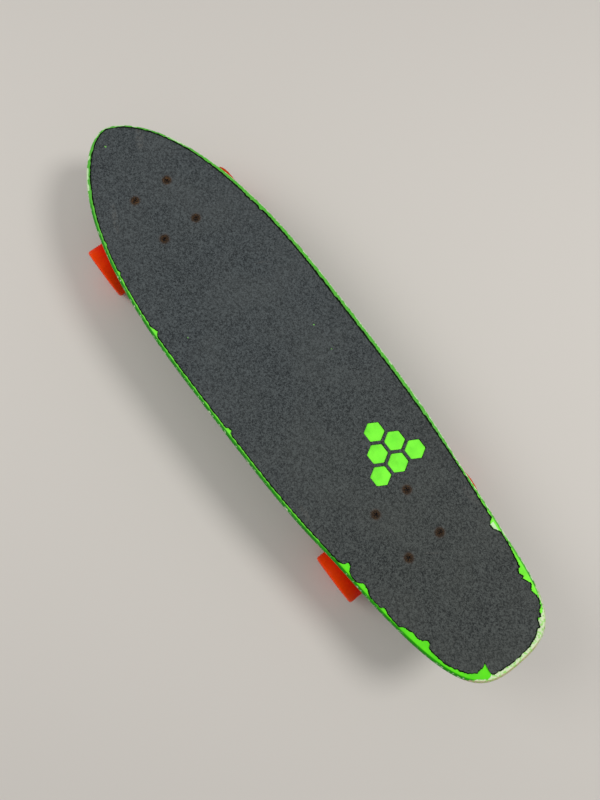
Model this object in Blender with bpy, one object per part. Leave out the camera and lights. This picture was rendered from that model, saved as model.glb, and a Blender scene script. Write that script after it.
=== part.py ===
"""A 28 inch cruiser skateboard with a kicked tail, two sprung trucks and four soft wheels.

Metres, +Z up. +X points to the nose and +Y to the rider's left. The ground is z = 0, and the
origin lies on it under the middle of the deck's length.
"""

import math

import bmesh
import bpy
from mathutils import Matrix, Vector

# Clearances
GAP = 0.0003                     # between pieces that touch
STEER_CLEARANCE = 0.0025         # round the kingpin in the hanger's ring, which rocks

# Deck: a flat middle, gently raised sides, a flat nose and a kicked tail
DECK_LENGTH = 0.703              # nose tip to the end of the tail, measured level
DECK_WIDTH = 0.187
DECK_THICKNESS = 0.0105          # seven plies of maple
RIM_RADIUS = 0.0045              # rounding of the deck's edge, above and below
FLAT_HALF_WIDTH = 0.030          # the flat strip that the trucks bolt to
CONCAVE_RISE = 0.003             # how far the sides rise outside it
WHEELBASE = 0.420                # between the two bolt patterns' centres
NOSE_OVERHANG = 0.119            # front bolt pattern's centre to the nose tip
WIDEST_SETBACK = 0.149           # front bolt pattern's centre back to the widest place
TAIL_NECK_HALF_WIDTH = 0.0815    # half the deck's width at the rear bolt pattern
TAIL_TAPER = math.radians(4.6)   # angle of its side there
NOSE_ROUNDING = 0.020            # half width over which the nose tip is blunt
TAIL_ROUNDING = 0.0515           # half width over which the tail end is blunt
NOSE_FULLNESS = 0.84             # curve handles of the outline, as shares of each stretch:
WAIST_FULLNESS = 0.81            # ahead of the widest place, behind it,
NECK_FULLNESS = 0.21             # ahead of the rear bolt pattern
TAIL_FULLNESS = 0.93             # and behind it
KICK_SETBACK = 0.052             # rear bolt pattern's centre to where the kick starts
KICK_ANGLE = math.radians(18.0)
KICK_BEND_LENGTH = 0.040

# Grip sheet, with six hexagons cut through it that show the deck
GRIP_THICKNESS = 0.0009
GRIP_INSET = 0.0048              # from the deck's outermost edge
CELL_WIDTH = 0.020               # across a hexagon's flats
CELL_RIB = 0.003                 # strip of grip left between two hexagons
CELL_ROWS = 3                    # the first row has as many hexagons as there are rows
CELLS_AHEAD = 0.054              # rear bolt pattern's centre to the first row's centre
CELLS_ASIDE = -0.031             # the pattern's centre line, to the right of the board's

# Mounting hardware
PATTERN_LENGTH = 0.05398         # bolt pattern, along the board
PATTERN_WIDTH = 0.04128          # and across it
BOLT_DIAMETER = 0.0048
BOLT_LENGTH = 0.032
BOLT_HEAD_DIAMETER = 0.0090
BOLT_HEAD_HEIGHT = 0.0027
BOLT_HEAD_RIM = 0.0004           # the head's short straight edge above its cone
RECESS_ARM = 0.0024              # cross recess: centre to the end of an arm
RECESS_HALF_SLOT = 0.0006
RECESS_DEPTH = 0.0015
RECESS_TAPER = 0.7               # its floor's size against its mouth's
NUT_WIDTH = 0.0095               # across flats
NUT_HEIGHT = 0.0042              # of its hexagon
NUT_COLLAR_HEIGHT = 0.0018       # of the locking collar on top
COLLAR_INSET = 0.0004            # any nut's collar inside its flats
COLLAR_CHAMFER = 0.0006
RISER_THICKNESS = 0.0032

# Truck. Its own frame has x outwards along the board and z = 0 at its mounting face.
TRUCK_HEIGHT = 0.0535            # mounting face down to the axle's centre
AXLE_SETBACK = 0.009             # bolt pattern's centre outwards to the axle
PLATE_LENGTH = 0.084
PLATE_WIDTH = 0.056
PLATE_THICKNESS = 0.006
PLATE_CORNER = 0.009
RING_CENTRE = Vector((-0.010, 0.0, -0.031))     # middle of the hanger's ring
PIVOT_POINT = Vector((0.029, 0.0, -0.0115))     # centre of the hanger's ball-ended pivot
KINGPIN_LEAN = math.radians(20.0)               # its lower end leans to the board's middle

# Kingpin stack, measured along the kingpin
KINGPIN_DIAMETER = 0.0095
KINGPIN_TAIL = 0.0015            # thread that shows past the nut
KINGPIN_HEAD_DIAMETER = 0.0155
KINGPIN_HEAD_HEIGHT = 0.0045
KINGPIN_SEAT = 0.0055            # plate metal between the head and the boss's face
KINGPIN_NUT_WIDTH = 0.0143
KINGPIN_NUT_HEIGHT = 0.0070
KINGPIN_COLLAR_HEIGHT = 0.0020
RING_THICKNESS = 0.008
RING_RADIUS = 0.016
BUSHING_RADIUS = 0.0120
BUSHING_WAIST = 0.0009           # how far a bushing's side is rounded or drawn in
BOARD_BUSHING_HEIGHT = 0.013
ROAD_BUSHING_HEIGHT = 0.011
ROAD_BUSHING_TIP = 0.0095        # radius of the road-side bushing's small end
WASHER_THICKNESS = 0.0016
WASHER_LIP = 0.0012              # height of a cup washer's turned rim
BOARD_WASHER_RADIUS = 0.0138
ROAD_WASHER_RADIUS = 0.0113
BOSS_RADIUS = 0.0132             # of the plate's boss, at the face that the washer sits on
BOSS_FLARE = 0.0026              # how much wider the boss is at its root

# Pivot
PIVOT_RADIUS = 0.0052
PIVOT_STRAIGHT = 0.006           # straight part of the pivot behind its ball end
CUP_WALL = 0.0027
CUP_DEPTH = 0.0045               # from the ball's centre to the cup's mouth
CUP_CROWN = 0.0032               # bevel round the cup's closed end
PIVOT_HOUSING_WALL = 0.0036
HOUSING_TAPER = 0.003            # how much the housing narrows to its closed end
NECK_ROOT_RADIUS = 0.0120        # the hanger's neck where it leaves the bar
NECK_TOP_RADIUS = 0.0076         # and where it turns into the pivot
YOKE_ROOT_HALF_WIDTH = 0.0144    # the ring's tongue where it meets the bar
YOKE_ROOT = 0.004                # how far it reaches past the axle's line

# Hanger, axle and wheels
HANGER_WIDTH = 0.120             # between the faces that the wheels run against
HANGER_END_RADIUS = 0.0085
HANGER_MIDDLE_DEPTH = 0.0155     # half height of its middle
HANGER_MIDDLE_SWELL = 0.0010     # how much wider its middle is than its ends, each way
HANGER_MIDDLE_RISE = 0.0065      # how far its middle is raised above the axle
AXLE_DIAMETER = 0.008
AXLE_TAIL = 0.0012               # thread that shows past the nut
AXLE_NUT_WIDTH = 0.013
AXLE_NUT_HEIGHT = 0.0046
AXLE_COLLAR_HEIGHT = 0.0018
SPEED_WASHER_THICKNESS = 0.0009
SPEED_WASHER_RADIUS = 0.0062
BEARING_DIAMETER = 0.022
BEARING_WIDTH = 0.007
BEARING_SPACING = 0.010          # between a wheel's two bearings
SHIELD_RECESS = 0.0004
SHIELD_MARGIN = 0.0015           # width of the bearing's outer ring round its shield
INNER_RING = 0.0017              # and of its inner ring
SHIELD_STEP = 0.0002
WHEEL_RADIUS = 0.030
WHEEL_WIDTH = 0.043
WHEEL_LIP = 0.0028               # rounding of the tread's edges
WHEEL_FACE_RADIUS = 0.0225       # where the flat side face turns into the cone
WHEEL_CORE_RADIUS = 0.0145       # bottom of the cone, round the bearing seat
WHEEL_SHOULDER = 0.0015          # depth of the step that a bearing seats against

# Facets round a turned piece
FINE = 28
MEDIUM = 16
COARSE = 12

# Places that follow from the sizes above
AXLE_HEIGHT = WHEEL_RADIUS
MOUNT_HEIGHT = AXLE_HEIGHT + TRUCK_HEIGHT
DECK_TOP = MOUNT_HEIGHT + GAP + RISER_THICKNESS + GAP + DECK_THICKNESS
BOLT_TOP = DECK_TOP + GAP + GRIP_THICKNESS
FRONT_TRUCK_X = DECK_LENGTH / 2 - NOSE_OVERHANG
REAR_TRUCK_X = FRONT_TRUCK_X - WHEELBASE
KICK_START_X = REAR_TRUCK_X - KICK_SETBACK
KICK_RADIUS = KICK_BEND_LENGTH / KICK_ANGLE
AXLE_POINT = Vector((AXLE_SETBACK, 0.0, -TRUCK_HEIGHT))
STEER_AXIS = (PIVOT_POINT - RING_CENTRE).normalized()
KINGPIN_AXIS = Vector((math.sin(KINGPIN_LEAN), 0.0, math.cos(KINGPIN_LEAN)))
WHEEL_MIDDLE = HANGER_WIDTH / 2 + GAP + BEARING_WIDTH + BEARING_SPACING / 2
BOSS_FACE = RING_THICKNESS / 2 + BOARD_BUSHING_HEIGHT + WASHER_THICKNESS + 3 * GAP
BOLT_PLACES = [Vector((sx * PATTERN_LENGTH / 2, sy * PATTERN_WIDTH / 2, 0.0))
               for sx in (1, -1) for sy in (1, -1)]
TRUCKS = {"front": (FRONT_TRUCK_X, 0.0), "rear": (REAR_TRUCK_X, math.pi)}


def clear_scene():
    for old in list(bpy.data.objects):
        bpy.data.objects.remove(old)


def finish(name, colour, roughness, metallic=0.0):
    """A plain material of one colour."""
    material = bpy.data.materials.new(name)
    material.use_nodes = True
    shader = material.node_tree.nodes["Principled BSDF"]
    shader.inputs["Base Color"].default_value = (*colour, 1.0)
    shader.inputs["Roughness"].default_value = roughness
    shader.inputs["Metallic"].default_value = metallic
    return material


def place(name, shape, material, parent=None, location=(0, 0, 0), rotation=(0, 0, 0)):
    """Make an object of a bmesh, in its parent's frame."""
    mesh = bpy.data.meshes.new(name)
    shape.to_mesh(mesh)
    shape.free()
    mesh.shade_smooth()
    mesh.set_sharp_from_angle(angle=math.radians(35))
    if material:
        mesh.materials.append(material)
    thing = bpy.data.objects.new(name, mesh)
    bpy.context.scene.collection.objects.link(thing)
    thing.parent = parent
    thing.location = location
    thing.rotation_euler = rotation
    return thing


def guide(name, parent=None, location=(0, 0, 0), rotation=(0, 0, 0)):
    """An empty that carries pieces."""
    empty = bpy.data.objects.new(name, None)
    bpy.context.scene.collection.objects.link(empty)
    empty.parent = parent
    empty.location = location
    empty.rotation_euler = rotation
    return empty


def combine(thing, name, shape, operation, location=(0, 0, 0), rotation=(0, 0, 0)):
    """Join a hidden shape to an object, or cut the object with it."""
    tool = place(name, shape, None, thing.parent, location, rotation)
    tool.hide_render = True
    tool.display_type = "WIRE"
    modifier = thing.modifiers.new(name, "BOOLEAN")
    modifier.operation = operation
    modifier.object = tool
    modifier.solver = "EXACT"


def round_about(radius, facets):
    """Corner radius of a polygon that is drawn round a circle, so its flats clear the circle."""
    return radius / math.cos(math.pi / facets)


def circle(radius, z, facets, phase=0.0):
    turns = [phase + 2 * math.pi * i / facets for i in range(facets)]
    return [Vector((radius * math.cos(a), radius * math.sin(a), z)) for a in turns]


def hexagon(width, z, points):
    """A hexagon as a loop of evenly turned points, a multiple of six."""
    loop = []
    for i in range(points):
        angle = 2 * math.pi * i / points
        from_flat = (angle % (math.pi / 3)) - math.pi / 6
        loop.append(Vector((math.cos(angle), math.sin(angle), 0)) * (width / 2 / math.cos(from_flat))
                    + Vector((0, 0, z)))
    return loop


def skin(loops, ring=False):
    """Skin equal loops into a stack with closed ends, or into a ring that meets itself."""
    shape = bmesh.new()
    rows = [[shape.verts.new(point) for point in loop] for loop in loops]
    pairs = list(zip(rows, rows[1:]))
    if ring:
        pairs.append((rows[-1], rows[0]))
    else:
        shape.faces.new(rows[0])
        shape.faces.new(rows[-1])
    for one, other in pairs:
        for i in range(len(one)):
            j = (i + 1) % len(one)
            shape.faces.new((one[i], one[j], other[j], other[i]))
    bmesh.ops.recalc_face_normals(shape, faces=shape.faces)
    return shape


def turned(profile, facets, phase=0.0):
    """Spin (radius, height) points about Z. A profile that ends on the axis makes a solid piece."""
    shape = bmesh.new()
    turn = Matrix.Rotation(phase, 3, "Z")
    points = [shape.verts.new(turn @ Vector((radius, 0, height))) for radius, height in profile]
    edges = [shape.edges.new(pair) for pair in zip(points, points[1:])]
    if profile[0][0] > 0:
        edges.append(shape.edges.new((points[-1], points[0])))
    bmesh.ops.spin(shape, geom=points + edges, cent=(0, 0, 0), axis=(0, 0, 1),
                   angle=2 * math.pi, steps=facets, use_merge=True)
    bmesh.ops.remove_doubles(shape, verts=shape.verts, dist=1e-6)
    bmesh.ops.recalc_face_normals(shape, faces=shape.faces)
    return shape


def gathered(shapes):
    """Put several shapes into one, as separate bodies."""
    whole = bmesh.new()
    for shape in shapes:
        mesh = bpy.data.meshes.new("gathered")
        shape.to_mesh(mesh)
        shape.free()
        whole.from_mesh(mesh)
        bpy.data.meshes.remove(mesh)
    return whole


def moved(shape, offset):
    bmesh.ops.translate(shape, verts=shape.verts, vec=offset)
    return shape


# Deck and grip

def bezier(start, start_handle, end_handle, end, count):
    """Points along a cubic curve, without its last one."""
    points = []
    for i in range(count):
        t = i / count
        s = 1 - t
        points.append(s**3 * start + 3 * s * s * t * start_handle
                      + 3 * s * t * t * end_handle + t**3 * end)
    return points


def rim_rows():
    """Steps round the deck's edge as (inset, depth), from its top face to its bottom face."""
    steps = 2
    turns = [math.pi / 2 * i / steps for i in range(steps + 1)]
    upper = [(RIM_RADIUS * (1 - math.sin(a)), RIM_RADIUS * (1 - math.cos(a))) for a in turns]
    lower = [(inset, DECK_THICKNESS - depth) for inset, depth in reversed(upper)]
    return upper + lower


def tail_lean():
    """How far the kicked tail's lower edge reaches past the end of its outline."""
    return max(depth * math.sin(KICK_ANGLE) - inset for inset, depth in rim_rows())


def deck_outline():
    """The deck seen from above, round from the nose tip over its left side."""
    nose = Vector((DECK_LENGTH / 2, 0))
    widest = Vector((FRONT_TRUCK_X - WIDEST_SETBACK, DECK_WIDTH / 2))
    neck = Vector((REAR_TRUCK_X, TAIL_NECK_HALF_WIDTH))
    tail = Vector((-DECK_LENGTH / 2 + tail_lean(), 0))
    along = Vector((math.cos(TAIL_TAPER), math.sin(TAIL_TAPER)))
    front = nose.x - widest.x
    middle = widest.x - neck.x
    back = neck.x - tail.x
    left = bezier(nose, nose + Vector((0, NOSE_ROUNDING)),
                  widest + Vector((NOSE_FULLNESS * front, 0)), widest, 14)
    left += bezier(widest, widest - Vector((WAIST_FULLNESS * middle, 0)),
                   neck + NECK_FULLNESS * middle * along, neck, 5)
    left += bezier(neck, neck - TAIL_FULLNESS * back * along,
                   tail + Vector((0, TAIL_ROUNDING)), tail, 12)
    right = [Vector((point.x, -point.y)) for point in reversed(left[1:])]
    return left + [tail] + right


def inset_outline(outline, inset):
    """Move each point of an outline inwards."""
    moved_in = []
    for i, point in enumerate(outline):
        run = outline[(i + 1) % len(outline)] - outline[i - 1]
        moved_in.append(point + Vector((-run.y, run.x)).normalized() * inset)
    return moved_in


def kick(x):
    """Height and slope angle of the kicked tail at x."""
    behind = max(0.0, KICK_START_X - x)
    bend = KICK_RADIUS * math.sin(KICK_ANGLE)
    if behind < bend:
        slope = math.asin(behind / KICK_RADIUS)
        return KICK_RADIUS * (1 - math.cos(slope)), slope
    return KICK_RADIUS * (1 - math.cos(KICK_ANGLE)) + (behind - bend) * math.tan(KICK_ANGLE), KICK_ANGLE


def on_board(x, y, depth):
    """The place at a depth under the deck's top face."""
    height, slope = kick(x)
    side = max(0.0, abs(y) - FLAT_HALF_WIDTH) / (DECK_WIDTH / 2 - FLAT_HALF_WIDTH)
    surface = Vector((x, y, DECK_TOP + height + CONCAVE_RISE * side**2))
    return surface - depth * Vector((math.sin(slope), 0, math.cos(slope)))


def board_sheet(rows):
    """A sheet that follows the board, from (inset, depth) steps round its edge."""
    outline = deck_outline()
    shape = skin([[Vector((p.x, p.y, -depth)) for p in inset_outline(outline, inset)]
                  for inset, depth in rows])
    bends = 5
    across = [KICK_START_X - KICK_RADIUS * math.sin(KICK_ANGLE * i / bends) for i in range(bends + 1)]
    lines = 3
    reach = DECK_WIDTH / 2 - FLAT_HALF_WIDTH
    along = [FLAT_HALF_WIDTH + reach * i / (lines + 0.5) for i in range(lines + 1)]
    cuts = [((x, 0, 0), (1, 0, 0)) for x in across]
    cuts += [((0, side * y, 0), (0, 1, 0)) for y in along for side in (1, -1)]
    for point, normal in cuts:
        bmesh.ops.bisect_plane(shape, geom=shape.verts[:] + shape.edges[:] + shape.faces[:],
                               dist=1e-5, plane_co=point, plane_no=normal)
    for vert in shape.verts:
        vert.co = on_board(vert.co.x, vert.co.y, -vert.co.z)
    return shape


def bolt_holes(profile):
    """Cutters of one profile at the eight bolts, in the board's frame."""
    return gathered([moved(turned(profile, COARSE), spot + Vector((x, 0, 0)))
                     for x, _ in TRUCKS.values() for spot in BOLT_PLACES])


def make_deck():
    deck = place("deck", board_sheet(rim_rows()), finish("green paint", (0.12, 0.82, 0.03), 0.38))
    shaft = round_about(BOLT_DIAMETER / 2 + GAP, COARSE)
    head = round_about(BOLT_HEAD_DIAMETER / 2 + GAP, COARSE)
    cone_top = BOLT_TOP - BOLT_HEAD_RIM
    cone_bottom = BOLT_TOP - BOLT_HEAD_HEIGHT
    below = DECK_TOP - 2 * DECK_THICKNESS
    above = DECK_TOP + 2 * GRIP_THICKNESS
    combine(deck, "deck_bolt_holes",
            bolt_holes([(0, below), (shaft, below), (shaft, cone_bottom), (head, cone_top),
                        (head, above), (0, above)]), "DIFFERENCE")
    return deck


def hexagon_windows():
    """Cutters for the hexagons: rows of three, two and one, narrowing to the nose."""
    pitch = CELL_WIDTH + CELL_RIB
    cells = []
    for row in range(CELL_ROWS):
        x = REAR_TRUCK_X + CELLS_AHEAD + row * pitch * math.cos(math.pi / 6)
        count = CELL_ROWS - row
        for i in range(count):
            y = CELLS_ASIDE + pitch * (i - (count - 1) / 2)
            loops = [hexagon(CELL_WIDTH, z, 6)
                     for z in (DECK_TOP - DECK_THICKNESS, DECK_TOP + DECK_THICKNESS)]
            cells.append(moved(skin(loops), Vector((x, y, 0))))
    return gathered(cells)


def make_grip():
    rows = [(GRIP_INSET, -GAP - GRIP_THICKNESS), (GRIP_INSET, -GAP)]
    grip = place("grip_tape", board_sheet(rows), finish("grit", (0.06, 0.07, 0.07), 0.95))
    radius = round_about(BOLT_HEAD_DIAMETER / 2 + GAP, COARSE)
    below = DECK_TOP - DECK_THICKNESS
    above = DECK_TOP + DECK_THICKNESS
    combine(grip, "grip_bolt_holes",
            bolt_holes([(0, below), (radius, below), (radius, above), (0, above)]), "DIFFERENCE")
    combine(grip, "grip_windows", hexagon_windows(), "DIFFERENCE")


# Mounting hardware

def bolt_shape():
    """A countersunk bolt with a cross recess, its head's top at z = 0."""
    facets = COARSE
    phase = -math.pi / facets
    shaft = BOLT_DIAMETER / 2
    head = BOLT_HEAD_DIAMETER / 2
    chamfer = shaft / 4
    arm, slot = RECESS_ARM, RECESS_HALF_SLOT
    corners = [(arm, -slot), (arm, slot), (slot, slot), (slot, arm), (-slot, arm), (-slot, slot),
               (-arm, slot), (-arm, -slot), (-slot, -slot), (-slot, -arm), (slot, -arm), (slot, -slot)]
    return skin([
        circle(shaft - chamfer, -BOLT_LENGTH, facets, phase),
        circle(shaft, -BOLT_LENGTH + chamfer, facets, phase),
        circle(shaft, -BOLT_HEAD_HEIGHT, facets, phase),
        circle(head, -BOLT_HEAD_RIM, facets, phase),
        circle(head, 0, facets, phase),
        [Vector((x, y, 0)) for x, y in corners],
        [Vector((x, y, 0)) * RECESS_TAPER + Vector((0, 0, -RECESS_DEPTH)) for x, y in corners],
    ])


def lock_nut(width, height, collar_height, bore, points=COARSE):
    """A hexagon nut with a round locking collar, its seat at z = 0 and its collar below."""
    collar = width / 2 - COLLAR_INSET
    hole = round_about(bore / 2 + GAP, points)
    top, bottom = -height, -height - collar_height
    return skin([hexagon(width, 0, points), hexagon(width, top, points),
                 circle(collar, top, points), circle(collar - COLLAR_CHAMFER, bottom, points),
                 circle(hole, bottom, points), circle(hole, 0, points)], ring=True)


def rounded_plate(length, width, corner, bottom, top):
    """A flat plate with round corners."""
    arc = 3
    loop = []
    for quarter, (sx, sy) in enumerate(((1, 1), (-1, 1), (-1, -1), (1, -1))):
        middle = Vector((sx * (length / 2 - corner), sy * (width / 2 - corner), 0))
        for i in range(arc + 1):
            angle = math.pi / 2 * (quarter + i / arc)
            loop.append(middle + corner * Vector((math.cos(angle), math.sin(angle), 0)))
    return skin([[point + Vector((0, 0, z)) for point in loop] for z in (bottom, top)])


def make_riser(label, truck):
    riser = place(f"riser_pad_{label}",
                  rounded_plate(PLATE_LENGTH, PLATE_WIDTH, PLATE_CORNER, GAP, GAP + RISER_THICKNESS),
                  finish(f"riser {label}", (0.02, 0.02, 0.02), 0.6), truck)
    combine(riser, f"riser_holes_{label}", pattern_holes(RISER_THICKNESS), "DIFFERENCE")


def pattern_holes(reach):
    """Straight cutters at one truck's four bolts, reaching both ways from its mounting face."""
    radius = round_about(BOLT_DIAMETER / 2 + GAP, COARSE)
    profile = [(0, -2 * reach), (radius, -2 * reach), (radius, 2 * reach), (0, 2 * reach)]
    return gathered([moved(turned(profile, COARSE), spot) for spot in BOLT_PLACES])


def hand(label, y):
    """The rider's side of a place in a truck's own frame. The rear truck faces backwards."""
    return "left" if (y > 0) == (label == "front") else "right"


def make_fasteners(label, truck):
    bolt_steel = finish(f"rusty steel {label}", (0.16, 0.08, 0.04), 0.6, 0.7)
    nut_steel = finish(f"zinc {label}", (0.45, 0.45, 0.46), 0.35, 1.0)
    for spot in BOLT_PLACES:
        corner = f"{'outer' if spot.x > 0 else 'inner'}_{hand(label, spot.y)}"
        place(f"bolt_{label}_{corner}", bolt_shape(), bolt_steel, truck,
              spot + Vector((0, 0, BOLT_TOP - MOUNT_HEIGHT)))
        place(f"bolt_nut_{label}_{corner}",
              lock_nut(NUT_WIDTH, NUT_HEIGHT, NUT_COLLAR_HEIGHT, BOLT_DIAMETER), nut_steel, truck,
              spot + Vector((0, 0, -PLATE_THICKNESS - GAP)))


# Truck

def turn_to(axis):
    """Rotation that turns Z to an axis in the xz plane."""
    return (0, math.atan2(axis.x, axis.z), 0)


def cup_skin(clearance, mouth):
    """Half the pivot cup's outer profile, or its pocket's, from its closed end to a mouth."""
    outside = PIVOT_RADIUS + GAP + CUP_WALL + clearance
    return [(0, outside), (outside - CUP_CROWN, outside), (outside, outside - CUP_CROWN),
            (outside, mouth)]


def make_baseplate(label, truck, metal):
    """The truck's fixed casting: plate, kingpin boss and pivot housing, with their holes."""
    plate = place(f"baseplate_{label}",
                  rounded_plate(PLATE_LENGTH, PLATE_WIDTH, PLATE_CORNER, -PLATE_THICKNESS, 0),
                  metal, truck)
    lean = turn_to(KINGPIN_AXIS)
    tilt = turn_to(STEER_AXIS)
    head_seat = BOSS_FACE + KINGPIN_SEAT
    boss_top = head_seat + PLATE_THICKNESS
    over = PLATE_LENGTH
    combine(plate, f"kingpin_boss_{label}",
            turned([(0, BOSS_FACE), (BOSS_RADIUS, BOSS_FACE), (BOSS_RADIUS + BOSS_FLARE, boss_top),
                    (0, boss_top)], MEDIUM), "UNION", RING_CENTRE, lean)
    pocket = cup_skin(GAP, -over / 4)
    cup_end = pocket[0][1]
    housing = cup_end + PIVOT_HOUSING_WALL
    combine(plate, f"pivot_housing_{label}",
            turned([(0, -CUP_DEPTH), (housing, -CUP_DEPTH), (housing, 0),
                    (housing - HOUSING_TAPER, cup_end), (0, housing)], MEDIUM),
            "UNION", PIVOT_POINT, tilt)
    combine(plate, f"mounting_face_{label}",
            rounded_plate(over, over, PLATE_CORNER, 0, over), "DIFFERENCE")
    shaft = round_about(KINGPIN_DIAMETER / 2 + GAP, MEDIUM)
    head = round_about(KINGPIN_HEAD_DIAMETER / 2 + GAP, MEDIUM)
    combine(plate, f"kingpin_hole_{label}",
            turned([(0, 0), (shaft, 0), (shaft, head_seat), (head, head_seat), (head, over), (0, over)],
                   MEDIUM), "DIFFERENCE", RING_CENTRE, lean)
    combine(plate, f"pivot_pocket_{label}", turned(pocket + [(0, -over / 4)], MEDIUM),
            "DIFFERENCE", PIVOT_POINT, tilt)
    combine(plate, f"plate_holes_{label}", pattern_holes(PLATE_THICKNESS), "DIFFERENCE")


def make_pivot_cup(label, truck):
    """A soft cup that the pivot's ball end turns in."""
    inside = round_about(PIVOT_RADIUS + GAP, MEDIUM)
    ball = [(inside * math.cos(a), inside * math.sin(a)) for a in (0, math.pi / 6, math.pi / 3)]
    profile = [(0, inside)] + ball[::-1] + [(inside, -CUP_DEPTH)] + cup_skin(0, -CUP_DEPTH)[::-1]
    place(f"pivot_cup_{label}", turned(profile, MEDIUM),
          finish(f"pivot cup {label}", (0.03, 0.03, 0.03), 0.5), truck,
          PIVOT_POINT, turn_to(STEER_AXIS))


def make_kingpin_stack(label, truck):
    """Kingpin, two bushings, their cup washers and the lock nut, on one leaning axis."""
    stack = guide(f"kingpin_axis_{label}", truck, RING_CENTRE, turn_to(KINGPIN_AXIS))
    steel = finish(f"kingpin steel {label}", (0.42, 0.42, 0.43), 0.4, 1.0)
    soft = finish(f"bushing {label}", (0.75, 0.16, 0.03), 0.35)
    ring = RING_THICKNESS / 2
    bore = round_about(KINGPIN_DIAMETER / 2 + GAP, MEDIUM)

    low = ring + GAP
    high = low + BOARD_BUSHING_HEIGHT
    belly = BUSHING_RADIUS + BUSHING_WAIST
    place(f"board_bushing_{label}",
          turned([(BUSHING_RADIUS, low), (belly, (low + high) / 2), (BUSHING_RADIUS, high),
                  (bore, high), (bore, low)], MEDIUM), soft, stack)
    seat = high + GAP
    place(f"board_cup_washer_{label}",
          cup_washer(BOARD_WASHER_RADIUS, belly, bore, seat, 1), steel, stack)

    high = -ring - GAP
    low = high - ROAD_BUSHING_HEIGHT
    place(f"road_bushing_{label}",
          turned([(BUSHING_RADIUS, high), (BUSHING_RADIUS - BUSHING_WAIST, (low + high) / 2),
                  (ROAD_BUSHING_TIP, low), (bore, low), (bore, high)], MEDIUM), soft, stack)
    seat = low - GAP
    place(f"road_cup_washer_{label}",
          cup_washer(ROAD_WASHER_RADIUS, ROAD_BUSHING_TIP, bore, seat, -1), steel, stack)

    nut_seat = seat - WASHER_THICKNESS - GAP
    place(f"kingpin_nut_{label}",
          lock_nut(KINGPIN_NUT_WIDTH, KINGPIN_NUT_HEIGHT, KINGPIN_COLLAR_HEIGHT, KINGPIN_DIAMETER),
          steel, stack, (0, 0, nut_seat))
    tail = nut_seat - KINGPIN_NUT_HEIGHT - KINGPIN_COLLAR_HEIGHT - KINGPIN_TAIL
    head = BOSS_FACE + KINGPIN_SEAT + GAP
    shaft = KINGPIN_DIAMETER / 2
    place(f"kingpin_{label}",
          turned([(0, tail), (shaft * 0.8, tail), (shaft, tail + shaft * 0.25), (shaft, head),
                  (KINGPIN_HEAD_DIAMETER / 2, head),
                  (KINGPIN_HEAD_DIAMETER / 2, head + KINGPIN_HEAD_HEIGHT),
                  (0, head + KINGPIN_HEAD_HEIGHT)], MEDIUM), steel, stack)


def cup_washer(radius, held, bore, seat, way):
    """A washer whose turned rim holds a bushing's end. Its bushing side lies at seat."""
    rim = round_about(held + GAP, MEDIUM)
    back = seat + way * WASHER_THICKNESS
    lip = seat - way * WASHER_LIP
    return turned([(bore, seat), (rim, seat), (rim, lip), (radius, lip), (radius, back), (bore, back)],
                  MEDIUM)


def hanger_bar():
    """The bar round the axle: round at its ends, deep in its middle."""
    half = HANGER_WIDTH / 2
    end, depth, rise = HANGER_END_RADIUS, HANGER_MIDDLE_DEPTH, HANGER_MIDDLE_RISE
    middle_width = end + HANGER_MIDDLE_SWELL
    side = [(1.0, 0.0, 0.9), (0.985, 0.0, 1.0), (0.78, 0.10, 1.0), (0.42, 0.45, 1.0),
            (0.20, 0.90, 1.0), (0.0, 1.0, 1.0)]
    sections = side + [(-share, *rest) for share, *rest in reversed(side[:-1])]
    loops = []
    for share, fullness, scale in sections:
        tall = (end + (depth - end) * fullness) * scale
        wide = (end + (middle_width - end) * fullness) * scale
        middle = AXLE_POINT + Vector((0, share * half, rise * fullness))
        loops.append([middle + Vector((wide * p.x, 0, tall * p.y)) for p in circle(1.0, 0, MEDIUM)])
    return skin(loops)


def hanger_yoke():
    """The flat tongue with the ring that the bushings hold."""
    reach = (AXLE_POINT.x - RING_CENTRE.x) / math.cos(KINGPIN_LEAN) + YOKE_ROOT
    arc = 10
    loop = [Vector((-RING_RADIUS * math.sin(a), RING_RADIUS * math.cos(a), 0))
            for a in (math.pi * i / arc for i in range(arc + 1))]
    loop += [Vector((reach, -YOKE_ROOT_HALF_WIDTH, 0)), Vector((reach, YOKE_ROOT_HALF_WIDTH, 0))]
    half = RING_THICKNESS / 2
    return skin([[point + Vector((0, 0, z)) for point in loop] for z in (-half, half)])


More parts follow.
